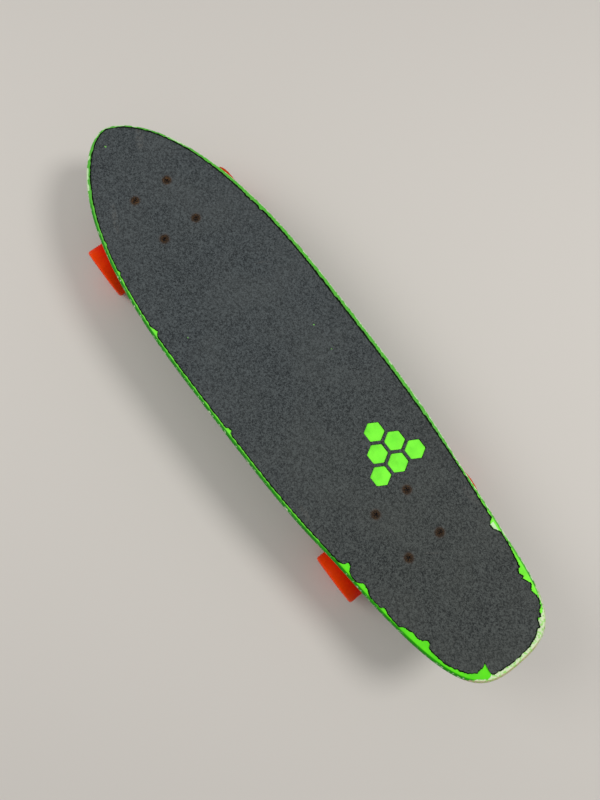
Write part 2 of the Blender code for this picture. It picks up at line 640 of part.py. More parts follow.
def hanger_neck():
    """The neck that rises from the bar and ends in the ball-ended pivot, on the steering axis."""
    across = Vector((0, 1, 0))
    foot = AXLE_POINT + Vector((0, 0, HANGER_MIDDLE_RISE / 2))
    top = PIVOT_POINT - STEER_AXIS * 2 * PIVOT_STRAIGHT - Vector((0, 0, NECK_TOP_RADIUS / 2))
    bend = PIVOT_POINT - STEER_AXIS * 1.4 * PIVOT_STRAIGHT - Vector((0, 0, NECK_TOP_RADIUS / 9))
    slimming = NECK_ROOT_RADIUS - NECK_TOP_RADIUS
    route = [(foot.lerp(top, t), NECK_ROOT_RADIUS - slimming * t * t) for t in (0, 0.3, 0.65, 1)]
    route += [(bend, (NECK_TOP_RADIUS + PIVOT_RADIUS) / 2),
              (PIVOT_POINT - STEER_AXIS * PIVOT_STRAIGHT, PIVOT_RADIUS), (PIVOT_POINT, PIVOT_RADIUS)]
    route += [(PIVOT_POINT + STEER_AXIS * PIVOT_RADIUS * math.sin(a), PIVOT_RADIUS * math.cos(a))
              for a in (math.pi / 6, math.pi / 3)]
    on_axis = len(route) - 4
    loops = []
    for i, (centre, radius) in enumerate(route):
        before = route[max(i - 1, 0)][0]
        after = route[min(i + 1, len(route) - 1)][0]
        heading = STEER_AXIS if i >= on_axis else (after - before).normalized()
        up = heading.cross(across)
        loops.append([centre + radius * (across * p.x + up * p.y) for p in circle(1.0, 0, MEDIUM)])
    return skin(loops)


def make_hanger(label, truck, metal):
    """The moving casting. Its origin lies on the steering axis, at the ring's centre."""
    hanger = place(f"hanger_{label}", moved(hanger_bar(), -RING_CENTRE), metal, truck, RING_CENTRE)
    lean = turn_to(KINGPIN_AXIS)
    combine(hanger, f"hanger_neck_{label}", moved(hanger_neck(), -RING_CENTRE), "UNION", RING_CENTRE)
    combine(hanger, f"hanger_yoke_{label}", hanger_yoke(), "UNION", RING_CENTRE, lean)
    ring_hole = KINGPIN_DIAMETER / 2 + STEER_CLEARANCE
    deep = RING_THICKNESS / 2 + GAP
    combine(hanger, f"ring_hole_{label}",
            turned([(0, -deep), (ring_hole, -deep), (ring_hole, deep), (0, deep)], MEDIUM),
            "DIFFERENCE", RING_CENTRE, lean)
    bore = round_about(AXLE_DIAMETER / 2 + GAP, COARSE)
    combine(hanger, f"axle_bore_{label}",
            turned([(0, -HANGER_WIDTH), (bore, -HANGER_WIDTH), (bore, HANGER_WIDTH), (0, HANGER_WIDTH)],
                   COARSE), "DIFFERENCE", AXLE_POINT, (-math.pi / 2, 0, 0))
    return hanger


# Axle, bearings and wheels: turned about Z, then laid along Y by their parent

def wheel_shape():
    """A tyre-like wheel with square lips, a coned face and a seat for a bearing on each side."""
    tread = round_about(WHEEL_RADIUS, FINE)
    edge = WHEEL_WIDTH / 2
    inner = BEARING_SPACING / 2 - GAP
    outer = BEARING_SPACING / 2 + BEARING_WIDTH + GAP
    seat = round_about(BEARING_DIAMETER / 2 + GAP, FINE)
    half = [(tread, edge - WHEEL_LIP), (tread - 0.3 * WHEEL_LIP, edge - 0.3 * WHEEL_LIP),
            (tread - WHEEL_LIP, edge), (WHEEL_FACE_RADIUS, edge), (WHEEL_CORE_RADIUS, outer),
            (seat, outer), (seat, inner), (seat - WHEEL_SHOULDER, inner)]
    return turned(half + [(radius, -height) for radius, height in reversed(half)], FINE,
                  math.pi / FINE)


def bearing_shape():
    """A shielded bearing, its middle at z = 0."""
    bore = round_about(AXLE_DIAMETER / 2 + GAP, MEDIUM)
    half, rim = BEARING_WIDTH / 2, BEARING_DIAMETER / 2
    outer, inner, floor = rim - SHIELD_MARGIN, bore + INNER_RING, half - SHIELD_RECESS
    return turned([(rim, half), (outer, half), (outer - SHIELD_STEP, floor),
                   (inner + SHIELD_STEP, floor), (inner, half), (bore, half),
                   (bore, -half), (rim, -half)], MEDIUM)


def make_wheels(label, hanger):
    """One truck's axle with its nuts and washers, and its two wheels with their bearings."""
    offset = AXLE_POINT - RING_CENTRE
    axle_line = guide(f"axle_line_{label}", hanger, offset, (-math.pi / 2, 0, 0))
    steel = finish(f"axle steel {label}", (0.5, 0.5, 0.5), 0.35, 1.0)
    shield = finish(f"bearing shield {label}", (0.35, 0.35, 0.36), 0.3, 1.0)
    tyre = finish(f"urethane {label}", (0.72, 0.04, 0.01), 0.35)
    outer_face = WHEEL_MIDDLE + BEARING_SPACING / 2 + BEARING_WIDTH
    washer_start = outer_face + GAP
    nut_start = washer_start + SPEED_WASHER_THICKNESS + GAP
    end = nut_start + AXLE_NUT_HEIGHT + AXLE_COLLAR_HEIGHT + AXLE_TAIL
    radius = AXLE_DIAMETER / 2
    half = [(0, end), (radius * 0.8, end), (radius, end - radius * 0.25)]
    place(f"axle_{label}", turned(half + [(r, -z) for r, z in reversed(half)], COARSE), steel, axle_line)
    bore = round_about(radius + GAP, COARSE)
    for side in (1, -1):
        end_name = f"{label}_{hand(label, side)}"
        outward = (0, 0, 0) if side == 1 else (math.pi, 0, 0)
        place(f"speed_washer_{end_name}",
              turned([(bore, 0), (SPEED_WASHER_RADIUS, 0),
                      (SPEED_WASHER_RADIUS, SPEED_WASHER_THICKNESS), (bore, SPEED_WASHER_THICKNESS)],
                     COARSE), steel, axle_line, (0, 0, side * washer_start), outward)
        inward = (math.pi, 0, 0) if side == 1 else (0, 0, 0)
        place(f"axle_nut_{end_name}",
              lock_nut(AXLE_NUT_WIDTH, AXLE_NUT_HEIGHT, AXLE_COLLAR_HEIGHT, AXLE_DIAMETER),
              steel, axle_line, (0, 0, side * nut_start), inward)
        wheel = place(f"wheel_{end_name}", wheel_shape(), tyre, axle_line,
                      (0, 0, side * WHEEL_MIDDLE), outward)
        from_middle = (BEARING_SPACING + BEARING_WIDTH) / 2
        for at, way, facing in (("outer", 1, (0, 0, 0)), ("inner", -1, (math.pi, 0, 0))):
            place(f"bearing_{end_name}_{at}", bearing_shape(), shield, wheel,
                  (0, 0, way * from_middle), facing)


def make_truck(label, x, heading):
    truck = guide(f"truck_{label}", None, (x, 0, MOUNT_HEIGHT), (0, 0, heading))
    metal = finish(f"cast aluminium {label}", (0.42, 0.43, 0.44), 0.45, 1.0)
    make_riser(label, truck)
    make_fasteners(label, truck)
    make_baseplate(label, truck, metal)
    make_pivot_cup(label, truck)
    make_kingpin_stack(label, truck)
    make_wheels(label, make_hanger(label, truck, metal))


def main():
    clear_scene()
    make_deck()
    make_grip()
    for label, (x, heading) in TRUCKS.items():
        make_truck(label, x, heading)


main()
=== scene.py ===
# %% [markdown]
# # A worn cruiser skateboard
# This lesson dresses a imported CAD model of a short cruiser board: a green deck with a kicked tail,
# dark grip tape that has been torn and scuffed, rusty deck bolts, two cast trucks and four soft
# orange-red wheels. The CAD solids carry the sizes and the joints. Here each of them gets a finer
# shape, a finish with its wear, and a studio to stand in.

import math
from contextlib import contextmanager

import bmesh
import bpy
from mathutils import Matrix, Vector, kdtree, noise


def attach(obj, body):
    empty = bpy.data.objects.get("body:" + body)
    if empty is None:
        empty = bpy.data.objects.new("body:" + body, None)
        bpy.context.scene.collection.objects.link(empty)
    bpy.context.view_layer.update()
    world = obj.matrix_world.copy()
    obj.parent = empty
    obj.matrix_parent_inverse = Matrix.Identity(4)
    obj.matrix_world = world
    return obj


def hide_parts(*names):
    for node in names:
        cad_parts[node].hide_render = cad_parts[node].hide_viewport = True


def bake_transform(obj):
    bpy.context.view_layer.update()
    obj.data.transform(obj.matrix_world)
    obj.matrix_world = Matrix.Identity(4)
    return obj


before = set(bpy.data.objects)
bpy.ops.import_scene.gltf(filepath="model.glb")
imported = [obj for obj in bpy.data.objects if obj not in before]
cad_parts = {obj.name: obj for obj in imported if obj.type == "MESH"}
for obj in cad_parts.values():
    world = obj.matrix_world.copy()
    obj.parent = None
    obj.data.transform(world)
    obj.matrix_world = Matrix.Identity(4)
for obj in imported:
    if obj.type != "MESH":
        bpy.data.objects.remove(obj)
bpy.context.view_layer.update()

# %% [markdown]
# ## The camera
# The board was photographed from nearly straight above with a phone, so the lens is a wide one and
# the camera hangs a little over 0.7 m above the ground. Its place was solved from the eight bolt
# heads, whose spacing is a trade standard.

# %% The camera
CAMERA_PLACE = (-0.0776, 0.1058, 0.7139)
CAMERA_TURN = tuple(math.radians(angle) for angle in (9.502, -3.808, -127.464))
CAMERA_LENS = 27.05

bpy.ops.object.camera_add(location=CAMERA_PLACE, rotation=CAMERA_TURN)
camera = bpy.context.object
camera.data.lens = CAMERA_LENS
camera.data.sensor_width = 36.0
camera.data.clip_start = 0.01
bpy.context.scene.camera = camera
print("camera", round(CAMERA_PLACE[2], 3), "m up, lens", CAMERA_LENS, "mm")

# %% [markdown]
# ## Helpers for modelling
# An operator acts on everything that is selected, so each step first selects just what it needs.
# A finished piece keeps its place in its mesh: its object sits at the origin, unturned.

# %% Helpers for modelling
SMOOTH_ANGLE = math.radians(32)
HEAL_GAP = 1.5e-5
SAME_POINT = 1e-6


def only(*pieces):
    """Select these pieces and nothing else, and make the last one active."""
    bpy.ops.object.select_all(action="DESELECT")
    for piece in pieces:
        piece.select_set(True)
    bpy.context.view_layer.objects.active = pieces[-1]


def select_whole_mesh():
    bpy.ops.mesh.select_all(action="SELECT")


@contextmanager
def editing(piece):
    """Edit a piece, starting with all of it selected, and come back to object mode."""
    only(piece)
    bpy.ops.object.mode_set(mode="EDIT")
    select_whole_mesh()
    yield
    bpy.ops.object.mode_set(mode="OBJECT")


def pick(piece, faces=None, edges=None):
    """In edit mode, select the faces or edges that pass a test, and nothing else."""
    shape = bmesh.from_edit_mesh(piece.data)
    bpy.ops.mesh.select_all(action="DESELECT")
    for elements, test in ((shape.faces, faces), (shape.edges, edges)):
        for element in elements if test else []:
            if test(element):
                element.select_set(True)
    bmesh.update_edit_mesh(piece.data)


def pull(offset):
    """In edit mode, extrude what is selected."""
    bpy.ops.mesh.extrude_region_move(TRANSFORM_OT_translate={"value": offset})


def modify(piece, kind, **settings):
    """Add a modifier to a piece and apply it."""
    only(piece)
    modifier = piece.modifiers.new(kind.lower(), kind)
    for name, value in settings.items():
        setattr(modifier, name, value)
    bpy.ops.object.modifier_apply(modifier=modifier.name)
    return piece


def eased(piece, width, angle, segments=2):
    """Bevel a piece's edges that turn by more than an angle in degrees."""
    return modify(piece, "BEVEL", width=width, segments=segments, limit_method="ANGLE",
                  angle_limit=math.radians(angle))


def copy_of(piece):
    """A copy with its own mesh."""
    twin = piece.copy()
    twin.data = piece.data.copy()
    bpy.context.scene.collection.objects.link(twin)
    return twin


def put(piece, matrix=Matrix.Identity(4)):
    """Move a piece by a matrix, and keep the move in its mesh."""
    piece.matrix_world = matrix @ piece.matrix_world
    only(piece)
    bpy.ops.object.transform_apply(location=True, rotation=True, scale=True)
    return piece


def joined(*pieces):
    """Several pieces as one mesh."""
    only(*pieces)
    bpy.ops.object.join()
    return bpy.context.object


def repeated(piece, spots):
    """Copies of a piece at several spots, joined into one tool."""
    copies = [put(copy_of(piece), Matrix.Translation(spot)) for spot in spots]
    bpy.data.objects.remove(piece)
    return joined(*copies)


def healed(piece):
    """Merge points that nearly meet, drop slivers and close what a cut left open."""
    with editing(piece):
        bpy.ops.mesh.remove_doubles(threshold=HEAL_GAP)
        bpy.ops.mesh.dissolve_degenerate(threshold=HEAL_GAP)
        select_whole_mesh()
        bpy.ops.mesh.fill_holes(sides=0)
    return piece


def combine(piece, tool, operation="DIFFERENCE"):
    """Cut a piece with another, or keep what they share, and throw the tool away."""
    modify(piece, "BOOLEAN", operation=operation, object=tool, solver="EXACT")
    bpy.data.objects.remove(tool)
    return piece


def keep(piece, name, body, slot, *nodes, finish=None):
    """Name and shade a finished piece, give it its body and hide the nodes it stands for; its slot is not
    used.
    """
    only(piece)
    bpy.ops.object.shade_smooth_by_angle(angle=SMOOTH_ANGLE)
    piece.name = piece.data.name = name
    if finish is not None:
        piece.data.materials.clear()
        piece.data.materials.append(finish)
    if body:
        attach(piece, body)
    if nodes:
        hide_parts(*nodes)
    return piece


# %% [markdown]
# Most metal and plastic pieces here are round. On a lathe they would be turned from a bar, and in
# Blender a circle is extruded and scaled from one station of the profile to the next. Each point
# also stores its radius and height, so that lathe marks and wear can follow the turning. The few
# square pieces start as blocks, whose upright edges are rounded or whose lower face is narrowed.

# %% Turned pieces and blocks
def drawn_out(stations, sides, solid):
    """Extrude a circle through stations of (centre, half width, half depth)."""
    centre, wide, deep = stations[0]
    bpy.ops.mesh.primitive_circle_add(vertices=sides, radius=1.0, location=(0, 0, 0),
                                      fill_type="NGON" if solid else "NOTHING")
    piece = bpy.context.object
    piece.data.transform(Matrix.Translation(centre) @ Matrix.Diagonal((wide, deep, 1, 1)))
    with editing(piece):
        for (a, wide_a, deep_a), (b, wide_b, deep_b) in zip(stations, stations[1:]):
            pull(Vector(b) - Vector(a))
            bpy.ops.transform.resize(value=(wide_b / wide_a, deep_b / deep_a, 1), center_override=b)
        select_whole_mesh()
        bpy.ops.mesh.remove_doubles(threshold=SAME_POINT)
        bpy.ops.mesh.normals_make_consistent(inside=False)
    return piece


def turned(profile, sides=64, solid=False, rounding=0.0):
    """Turn (radius, height) points about Z. A ring's profile comes back to its first point."""
    if not solid:
        profile = profile + profile[:1]
    piece = drawn_out([((0, 0, height), radius, radius) for radius, height in profile], sides, solid)
    if rounding:
        eased(piece, rounding, 25, 3)
    lathe = piece.data.attributes.new("lathe", "FLOAT_VECTOR", "POINT")
    for point, vertex in zip(lathe.data, piece.data.vertices):
        point.vector = (math.hypot(vertex.co.x, vertex.co.y), vertex.co.z, 0)
    return piece


def hexagon(width, low, high):
    """A hexagonal bar between two heights, with two flats square to Y."""
    bpy.ops.mesh.primitive_cylinder_add(vertices=6, radius=width / math.sqrt(3), depth=high - low,
                                        location=(0, 0, (low + high) / 2), rotation=(0, 0, math.pi / 6))
    return put(bpy.context.object)


def block(length, width, low, high):
    """A block between two heights."""
    bpy.ops.mesh.primitive_cube_add(size=1, location=(0, 0, (low + high) / 2),
                                    scale=(length, width, high - low))
    return put(bpy.context.object)


def rounded(piece, radius, segments=8):
    """Round the upright edges of a block or a bar."""
    with editing(piece):
        pick(piece, edges=lambda edge: abs(edge.verts[0].co.z - edge.verts[1].co.z) > SAME_POINT)
        bpy.ops.mesh.bevel(offset=radius, segments=segments, affect="EDGES")
    return piece


def narrowed(piece, low, along, across):
    """Scale the lower face of a block, which lies at a height."""
    with editing(piece):
        pick(piece, faces=lambda face: face.normal.z < -0.5)
        bpy.ops.transform.resize(value=(along, across, 1), center_override=(0, 0, low))
    return piece


# %% [markdown]
# ## Helpers for finishes
# A finish is a tree of shader nodes. The helpers add nodes to `tree`, the one in hand, and what a
# node gives out is wrapped so that plain sums can be written with it. Effects that several finishes
# share, such as grit, ragged wear or grime, are node groups that are made once and placed with
# their own values.

# %% Helpers for finishes
class Signal:
    """What a node gives out. Adding, subtracting or multiplying it adds a maths node."""

    def __init__(self, socket):
        self.socket = socket

    def __add__(self, other):
        return maths("ADD", self, other)

    def __sub__(self, other):
        return maths("SUBTRACT", self, other)

    def __rsub__(self, other):
        return maths("SUBTRACT", other, self)

    def __mul__(self, other):
        return maths("MULTIPLY", self, other)

    __radd__ = __add__
    __rmul__ = __mul__


def node(kind, settings=None, **inputs):
    """Add a node to the tree in hand, set its settings, and fill or link its inputs by name."""
    new = tree.nodes.new("ShaderNode" + kind)
    for name, value in (settings or {}).items():
        setattr(new, name, value)
    for name, value in inputs.items():
        name = name.replace("_", " ")
        socket = new.inputs[int(name[1:]) if name[1:].isdigit() else name]
        if isinstance(value, Signal):
            tree.links.new(value.socket, socket)
        else:
            socket.default_value = value
    return new


def out(kind, settings=None, output=0, **inputs):
    """Add a node and take one of its outputs."""
    return Signal(node(kind, settings, **inputs).outputs[output])


def maths(operation, a, b=0.5, c=0.0):
    return out("Math", {"operation": operation}, i0=a, i1=b, i2=c)


def largest(a, b):
    return maths("MAXIMUM", a, b)


def ramp(value, low, high, to_low=0.0, to_high=1.0):
    """Map a value smoothly from one range to another."""
    return out("MapRange", {"interpolation_type": "SMOOTHSTEP"}, Value=value,
               From_Min=low, From_Max=high, To_Min=to_low, To_Max=to_high)


def layered(colour, *layers):
    """Lay other colours over one, each layer being (amount, colour) or (amount, colour, blend)."""
    for amount, over, *blend in layers:
        settings = {"data_type": "RGBA", "blend_type": blend[0] if blend else "MIX"}
        colour = out("Mix", settings, 2, i0=amount, i6=colour, i7=over)
    return colour


def grains(vector, scale, detail=2.0, rough=0.5):
    return out("TexNoise", Vector=vector, Scale=scale, Detail=detail, Roughness=rough)


def attribute(name, output="Vector"):
    return out("Attribute", {"attribute_name": name}, output)


def on_piece():
    return out("TexCoord", output="Object")


def parts(vector):
    """The three parts of a vector."""
    return [Signal(socket) for socket in node("SeparateXYZ", Vector=vector).outputs]


def lathe_rings(scale, detail):
    """Fine rings round a turned piece: noise that varies with radius and height only."""
    return grains(out("Mapping", Vector=attribute("lathe"), Scale=(1, 1, 0)), scale, detail)


def group(name, outputs, **inputs):
    """Start a node group, which is then the tree in hand. A vector input has no default."""
    global tree
    tree = bpy.data.node_groups.new(name, "ShaderNodeTree")
    for socket, default in inputs.items():
        kind = "NodeSocketVector" if default is None else "NodeSocketFloat"
        made = tree.interface.new_socket(name=socket.replace("_", " "), in_out="INPUT", socket_type=kind)
        if default is not None:
            made.default_value = default
    for socket in outputs:
        tree.interface.new_socket(name=socket, in_out="OUTPUT", socket_type="NodeSocketFloat")
    given = tree.nodes.new("NodeGroupInput").outputs
    return [Signal(given[i]) for i in range(len(inputs))]


def give(*values):
    """Link what the group in hand gives out, in order."""
    for value, socket in zip(values, tree.nodes.new("NodeGroupOutput").inputs):
        tree.links.new(value.socket, socket)


def use(effect, **inputs):
    """Place a group in a finish, and take all that it gives out."""
    made = node("Group", {"node_tree": bpy.data.node_groups[effect]}, **inputs)
    return [Signal(socket) for socket in made.outputs]


def material(name, roughness=0.5, metallic=0.0, **constants):
    """Start a material, whose tree is then the one in hand."""
    global tree
    made = bpy.data.materials.new(name)
    made.use_nodes = True
    tree = made.node_tree
    for socket, value in dict(constants, Roughness=roughness, Metallic=metallic).items():
        tree.nodes["Principled BSDF"].inputs[socket.replace("_", " ")].default_value = value
    return made


def into(**varying):
    """Link what varies into the shader of the material in hand."""
    for socket, value in varying.items():
        tree.links.new(value.socket, tree.nodes["Principled BSDF"].inputs[socket.replace("_", " ")])


def bump(height, distance, strength=1.0, **under):
    """A normal from a height, in metres at full height. It can lie on another Normal."""
    return out("Bump", Height=height, Distance=distance, Strength=strength, **under)


def shown(red, green, blue):
    """A colour as a screen shows it, 0 to 255, turned into Blender's linear values."""
    def linear(v):
        v /= 255
        return v / 12.92 if v <= 0.04045 else ((v + 0.055) / 1.055) ** 2.4
    return (linear(red), linear(green), linear(blue), 1.0)


# %% [markdown]
# ## Effects that finishes share
# - **Grit** is the sand of grip tape or of a casting: cells of light and dark crystals.
# - **Ragged** turns a smooth gradient into a torn edge, by adding noise before it is cut off.
# - **Grime** gathers in broad soft patches.
# - **Scratches** are long thin streaks in two directions.

# %% Effects that finishes share
vector, size = group("Grit", ["Speckle", "Height"], Vector=None, Grains_per_metre=1500.0)
cells = node("TexVoronoi", {"feature": "F1"}, Vector=vector, Scale=size).outputs
crystal = out("SeparateColor", Color=Signal(cells["Color"]))
clumps = grains(vector, size * 0.35, 3.0)
give((crystal - 0.5) * 0.55 + (clumps - 0.5) * 1.1 + 0.5, 1.0 - Signal(cells["Distance"]))

vector, gradient, size, raggedness, softness = group(
    "Ragged", ["Mask"], Vector=None, Gradient=0.5, Scale=300.0, Raggedness=0.5, Softness=0.06)
level = (grains(vector, size, 4.0, 0.6) - 0.5) * raggedness + gradient
give(ramp(level, 0.5 - softness, 0.5 + softness))

vector, size, amount = group("Grime", ["Mask"], Vector=None, Scale=25.0, Amount=0.5)
give(ramp(grains(vector, size, 6.0, 0.62), 0.42, 0.72) * amount)

vector, size, amount = group("Scratches", ["Mask"], Vector=None, Scale=60.0, Amount=0.5)
streaks = []
for turn, squeeze in ((0.35, 26.0), (-0.9, 34.0)):
    streaked = out("Mapping", Vector=vector, Rotation=(0.2, 0.1, turn), Scale=(1.0, squeeze, squeeze))
    streaks.append(ramp(grains(streaked, size, 3.0), 0.64, 0.72))
give(largest(*streaks) * amount)
print("effects:", [made.name for made in bpy.data.node_groups])

# %% [markdown]
# ## The deck's shape
# A cruiser deck is seven plies of maple, pressed in a mould. Seen from above, its outline is three
# flowing curves a side, so it is drawn as one closed Bézier curve. The curve becomes a face, insets
# with a depth round its rim over, and straight cuts give it the rows of points along which the
# kicked tail and the gently raised sides are then bent. All holes are cut while it is still flat.

# %% Sizes of the board
DECK_LENGTH = 0.703
DECK_WIDTH = 0.187
DECK_THICKNESS = 0.0105
RIM_RADIUS = 0.0045
FLAT_HALF_WIDTH = 0.030
CONCAVE_RISE = 0.003
DECK_TOP = 0.0978
GAP = 0.0003
MOUNT_HEIGHT = 0.0835
FRONT_TRUCK_X = 0.2325
REAR_TRUCK_X = -0.1875
NOSE_ROUNDING = 0.020
TAIL_ROUNDING = 0.0515
TAIL_END_X = -0.34943
WIDEST = Vector((0.0835, DECK_WIDTH / 2, 0))
NECK = Vector((REAR_TRUCK_X, 0.0815, 0))
NOSE_FULLNESS, BACK_FULLNESS = 0.84, 0.81       # how far the curves run on from the widest place
NECK_FULLNESS, TAIL_FULLNESS = 0.21, 0.93       # and from the neck, ahead and behind
TAIL_TAPER = math.radians(4.6)
KICK_START_X = -0.2395
KICK_ANGLE = math.radians(18.0)
KICK_RADIUS = 0.040 / KICK_ANGLE
GRIP_THICKNESS = 0.0009
GRIP_INSET = 0.0048
TRUCKS = {"front": (FRONT_TRUCK_X, 0.0), "rear": (REAR_TRUCK_X, math.pi)}


# %% Outline of the board
def outline(steps):
    """The deck's outline as a closed loop of edges in the ground plane."""
    bpy.ops.curve.primitive_bezier_circle_add(radius=0.1, location=(0, 0, 0))
    curve = bpy.context.object
    along = Vector((math.cos(TAIL_TAPER), math.sin(TAIL_TAPER), 0))
    front, middle, back = DECK_LENGTH / 2 - WIDEST.x, WIDEST.x - NECK.x, NECK.x - TAIL_END_X
    nose, tail = Vector((DECK_LENGTH / 2, 0, 0)), Vector((TAIL_END_X, 0, 0))
    nose_half, tail_half = Vector((0, NOSE_ROUNDING, 0)), Vector((0, TAIL_ROUNDING, 0))
    left = [(WIDEST, WIDEST + Vector((NOSE_FULLNESS * front, 0, 0)),
             WIDEST - Vector((BACK_FULLNESS * middle, 0, 0))),
            (NECK, NECK + NECK_FULLNESS * middle * along, NECK - TAIL_FULLNESS * back * along)]
    flip = Matrix.Diagonal((1, -1, 1))
    right = [(flip @ at, flip @ after, flip @ before) for at, before, after in reversed(left)]
    points = [(nose, nose - nose_half, nose + nose_half)] + left
    points += [(tail, tail + tail_half, tail - tail_half)] + right
    curve.data.splines.remove(curve.data.splines[0])
    spline = curve.data.splines.new("BEZIER")
    spline.bezier_points.add(len(points) - 1)
    spline.use_cyclic_u = True
    for knot, (at, before, after) in zip(spline.bezier_points, points):
        knot.handle_left_type = knot.handle_right_type = "FREE"
        knot.co, knot.handle_left, knot.handle_right = at, before, after
    spline.resolution_u = curve.data.resolution_u = steps
    curve.data.fill_mode = "FULL"
    only(curve)
    bpy.ops.object.convert(target="MESH")
    with editing(bpy.context.object):
        bpy.ops.mesh.remove_doubles(threshold=SAME_POINT)
    return bpy.context.object


def nearest_of(places):
    """A search tree that finds the nearest of many places."""
    search = kdtree.KDTree(len(places))
    for i, place in enumerate(places):
        search.insert(place, i)
    search.balance()
    return search


OUTLINE_STEPS = 64
FINE_STEPS = 6 * OUTLINE_STEPS

fine_outline = outline(FINE_STEPS)
rim_tree = nearest_of([vertex.co for vertex in fine_outline.data.vertices])
print("outline measured at", len(fine_outline.data.vertices), "points")
bpy.data.objects.remove(fine_outline)

# %% [markdown]
# Each point of the board keeps its place on the flat sheet and its distance inside the outline as
# attributes, because paint, plies and wear follow the board and not the room.

# %% Bending
KICK_ROWS, KICK_ROW_PITCH = 17, 0.0026
SIDE_ROWS, SIDE_ROW_PITCH = 10, 0.0062
CROSS_ROWS = (-0.31, -0.29, -0.2, -0.1, 0, 0.1, 0.2, 0.28)


def kick(x):
    """Height and slope of the kicked tail at x."""
    behind = max(0.0, KICK_START_X - x)
    bend = KICK_RADIUS * math.sin(KICK_ANGLE)
    if behind < bend:
        slope = math.asin(behind / KICK_RADIUS)
        return KICK_RADIUS * (1 - math.cos(slope)), slope
    return KICK_RADIUS * (1 - math.cos(KICK_ANGLE)) + (behind - bend) * math.tan(KICK_ANGLE), KICK_ANGLE


def on_board(flat):
    """Where a point of the flat board goes: z is its height over the deck's top face."""
    height, slope = kick(flat.x)
    side = max(0.0, abs(flat.y) - FLAT_HALF_WIDTH) / (DECK_WIDTH / 2 - FLAT_HALF_WIDTH)
    surface = Vector((flat.x, flat.y, DECK_TOP + height + CONCAVE_RISE * side**2))
    return surface + flat.z * Vector((math.sin(slope), 0, math.cos(slope)))


def in_rows(piece):
    """Cut rows of points into a flat sheet, for it to bend at."""
    rows = [((KICK_START_X - KICK_ROW_PITCH * i, 0, 0), (1, 0, 0)) for i in range(KICK_ROWS)]
    rows += [((x, 0, 0), (1, 0, 0)) for x in CROSS_ROWS]
    rows += [((0, side * (FLAT_HALF_WIDTH + SIDE_ROW_PITCH * i), 0), (0, 1, 0))
             for i in range(SIDE_ROWS) for side in (1, -1)]
    with editing(piece):
        for place, normal in rows:
            select_whole_mesh()
            bpy.ops.mesh.bisect(plane_co=place, plane_no=normal)
        select_whole_mesh()
        bpy.ops.mesh.normals_make_consistent(inside=False)


def bent(piece):
    """Remember each point's flat place and its distance inside the outline, and bend the sheet."""
    points = piece.data.vertices
    flat = piece.data.attributes.new("flat", "FLOAT_VECTOR", "POINT")
    flat.data.foreach_set("vector", [value for point in points for value in point.co])
    rim = piece.data.attributes.new("rim", "FLOAT", "POINT")
    rim.data.foreach_set("value", [rim_tree.find((point.co.x, point.co.y, 0))[2] for point in points])
    for point in points:
        point.co = on_board(point.co)
    piece.data.update()


# %% [markdown]
# Each hole of the bolt pattern is countersunk. The trade's pattern is 53.98 mm by 41.28 mm, eight
# bolts in all, and one cutter with eight spindles makes all the holes at once.

# %% Cutters for the bolt holes
PATTERN_LENGTH = 0.05398
PATTERN_WIDTH = 0.04128
BOLT_TOP = DECK_TOP + GAP + GRIP_THICKNESS
BOLT_HEAD_RADIUS = 0.0045
BOLT_SHANK_RADIUS = 0.0024
HEAD_CLEARANCE = 0.0002
SHANK_CLEARANCE = 0.0003
CONE_LOW, CONE_HIGH = 0.0028, 0.0005            # the countersink's ends, below the bolt's top
CUTTER_REACH = 0.03
BOLT_SPOTS = [Vector((ahead * PATTERN_LENGTH / 2, aside * PATTERN_WIDTH / 2, 0))
              for ahead in (1, -1) for aside in (1, -1)]
BOARD_SPOTS = [spot + Vector((x, 0, 0)) for x, heading in TRUCKS.values() for spot in BOLT_SPOTS]


def bolt_cutter():
    """Eight countersinks, for a sheet that lies flat with the deck's top face at z = 0."""
    wide, narrow = BOLT_HEAD_RADIUS + HEAD_CLEARANCE, BOLT_SHANK_RADIUS + SHANK_CLEARANCE
    top = BOLT_TOP - DECK_TOP
    spindle = turned([(narrow, -CUTTER_REACH), (narrow, top - CONE_LOW), (wide, top - CONE_HIGH),
                      (wide, CUTTER_REACH)], 32, solid=True)
    return repeated(spindle, BOARD_SPOTS)


# %% Model the deck
ROUNDING_STEPS = 6
FLAT_RINGS = (0.0004, 0.0015, 0.0030)           # rings of points beside the rim, for its wear

deck = outline(OUTLINE_STEPS)
deck.data.transform(Matrix.Translation((0, 0, -RIM_RADIUS)))
with editing(deck):
    bpy.ops.mesh.edge_face_add()
    pull((0, 0, 2 * RIM_RADIUS - DECK_THICKNESS))
    select_whole_mesh()
    bpy.ops.mesh.normals_make_consistent(inside=False)
    for way in (1, -1):
        pick(deck, faces=lambda face: face.normal.z * way > 0.9 and len(face.verts) > 8)
        for i in range(ROUNDING_STEPS):
            a, b = (math.pi / 2 * j / ROUNDING_STEPS for j in (i, i + 1))
            bpy.ops.mesh.inset(thickness=RIM_RADIUS * (math.cos(a) - math.cos(b)),
                               depth=RIM_RADIUS * (math.sin(b) - math.sin(a)), use_even_offset=True)
        for ring in FLAT_RINGS:
            bpy.ops.mesh.inset(thickness=ring, use_even_offset=True)
in_rows(deck)
combine(deck, bolt_cutter())
bent(deck)
print("deck:", len(deck.data.vertices), "points,", [round(v, 4) for v in deck.dimensions])

# %% [markdown]
# ## Paint, plies and bare wood
# The deck is sprayed a fluorescent green. Knocks all along the rim show pale primer, most of all on
# the nose, and round the tail, which drags on the ground, the paint is gone and the plies lie open:
# thin brown glue lines between whitish maple. The `rim` attribute says how far a point lies inside
# the outline, and `flat` says where it lies on the board and how deep in the plies. Each mask starts
# from ramps over those places, in metres.

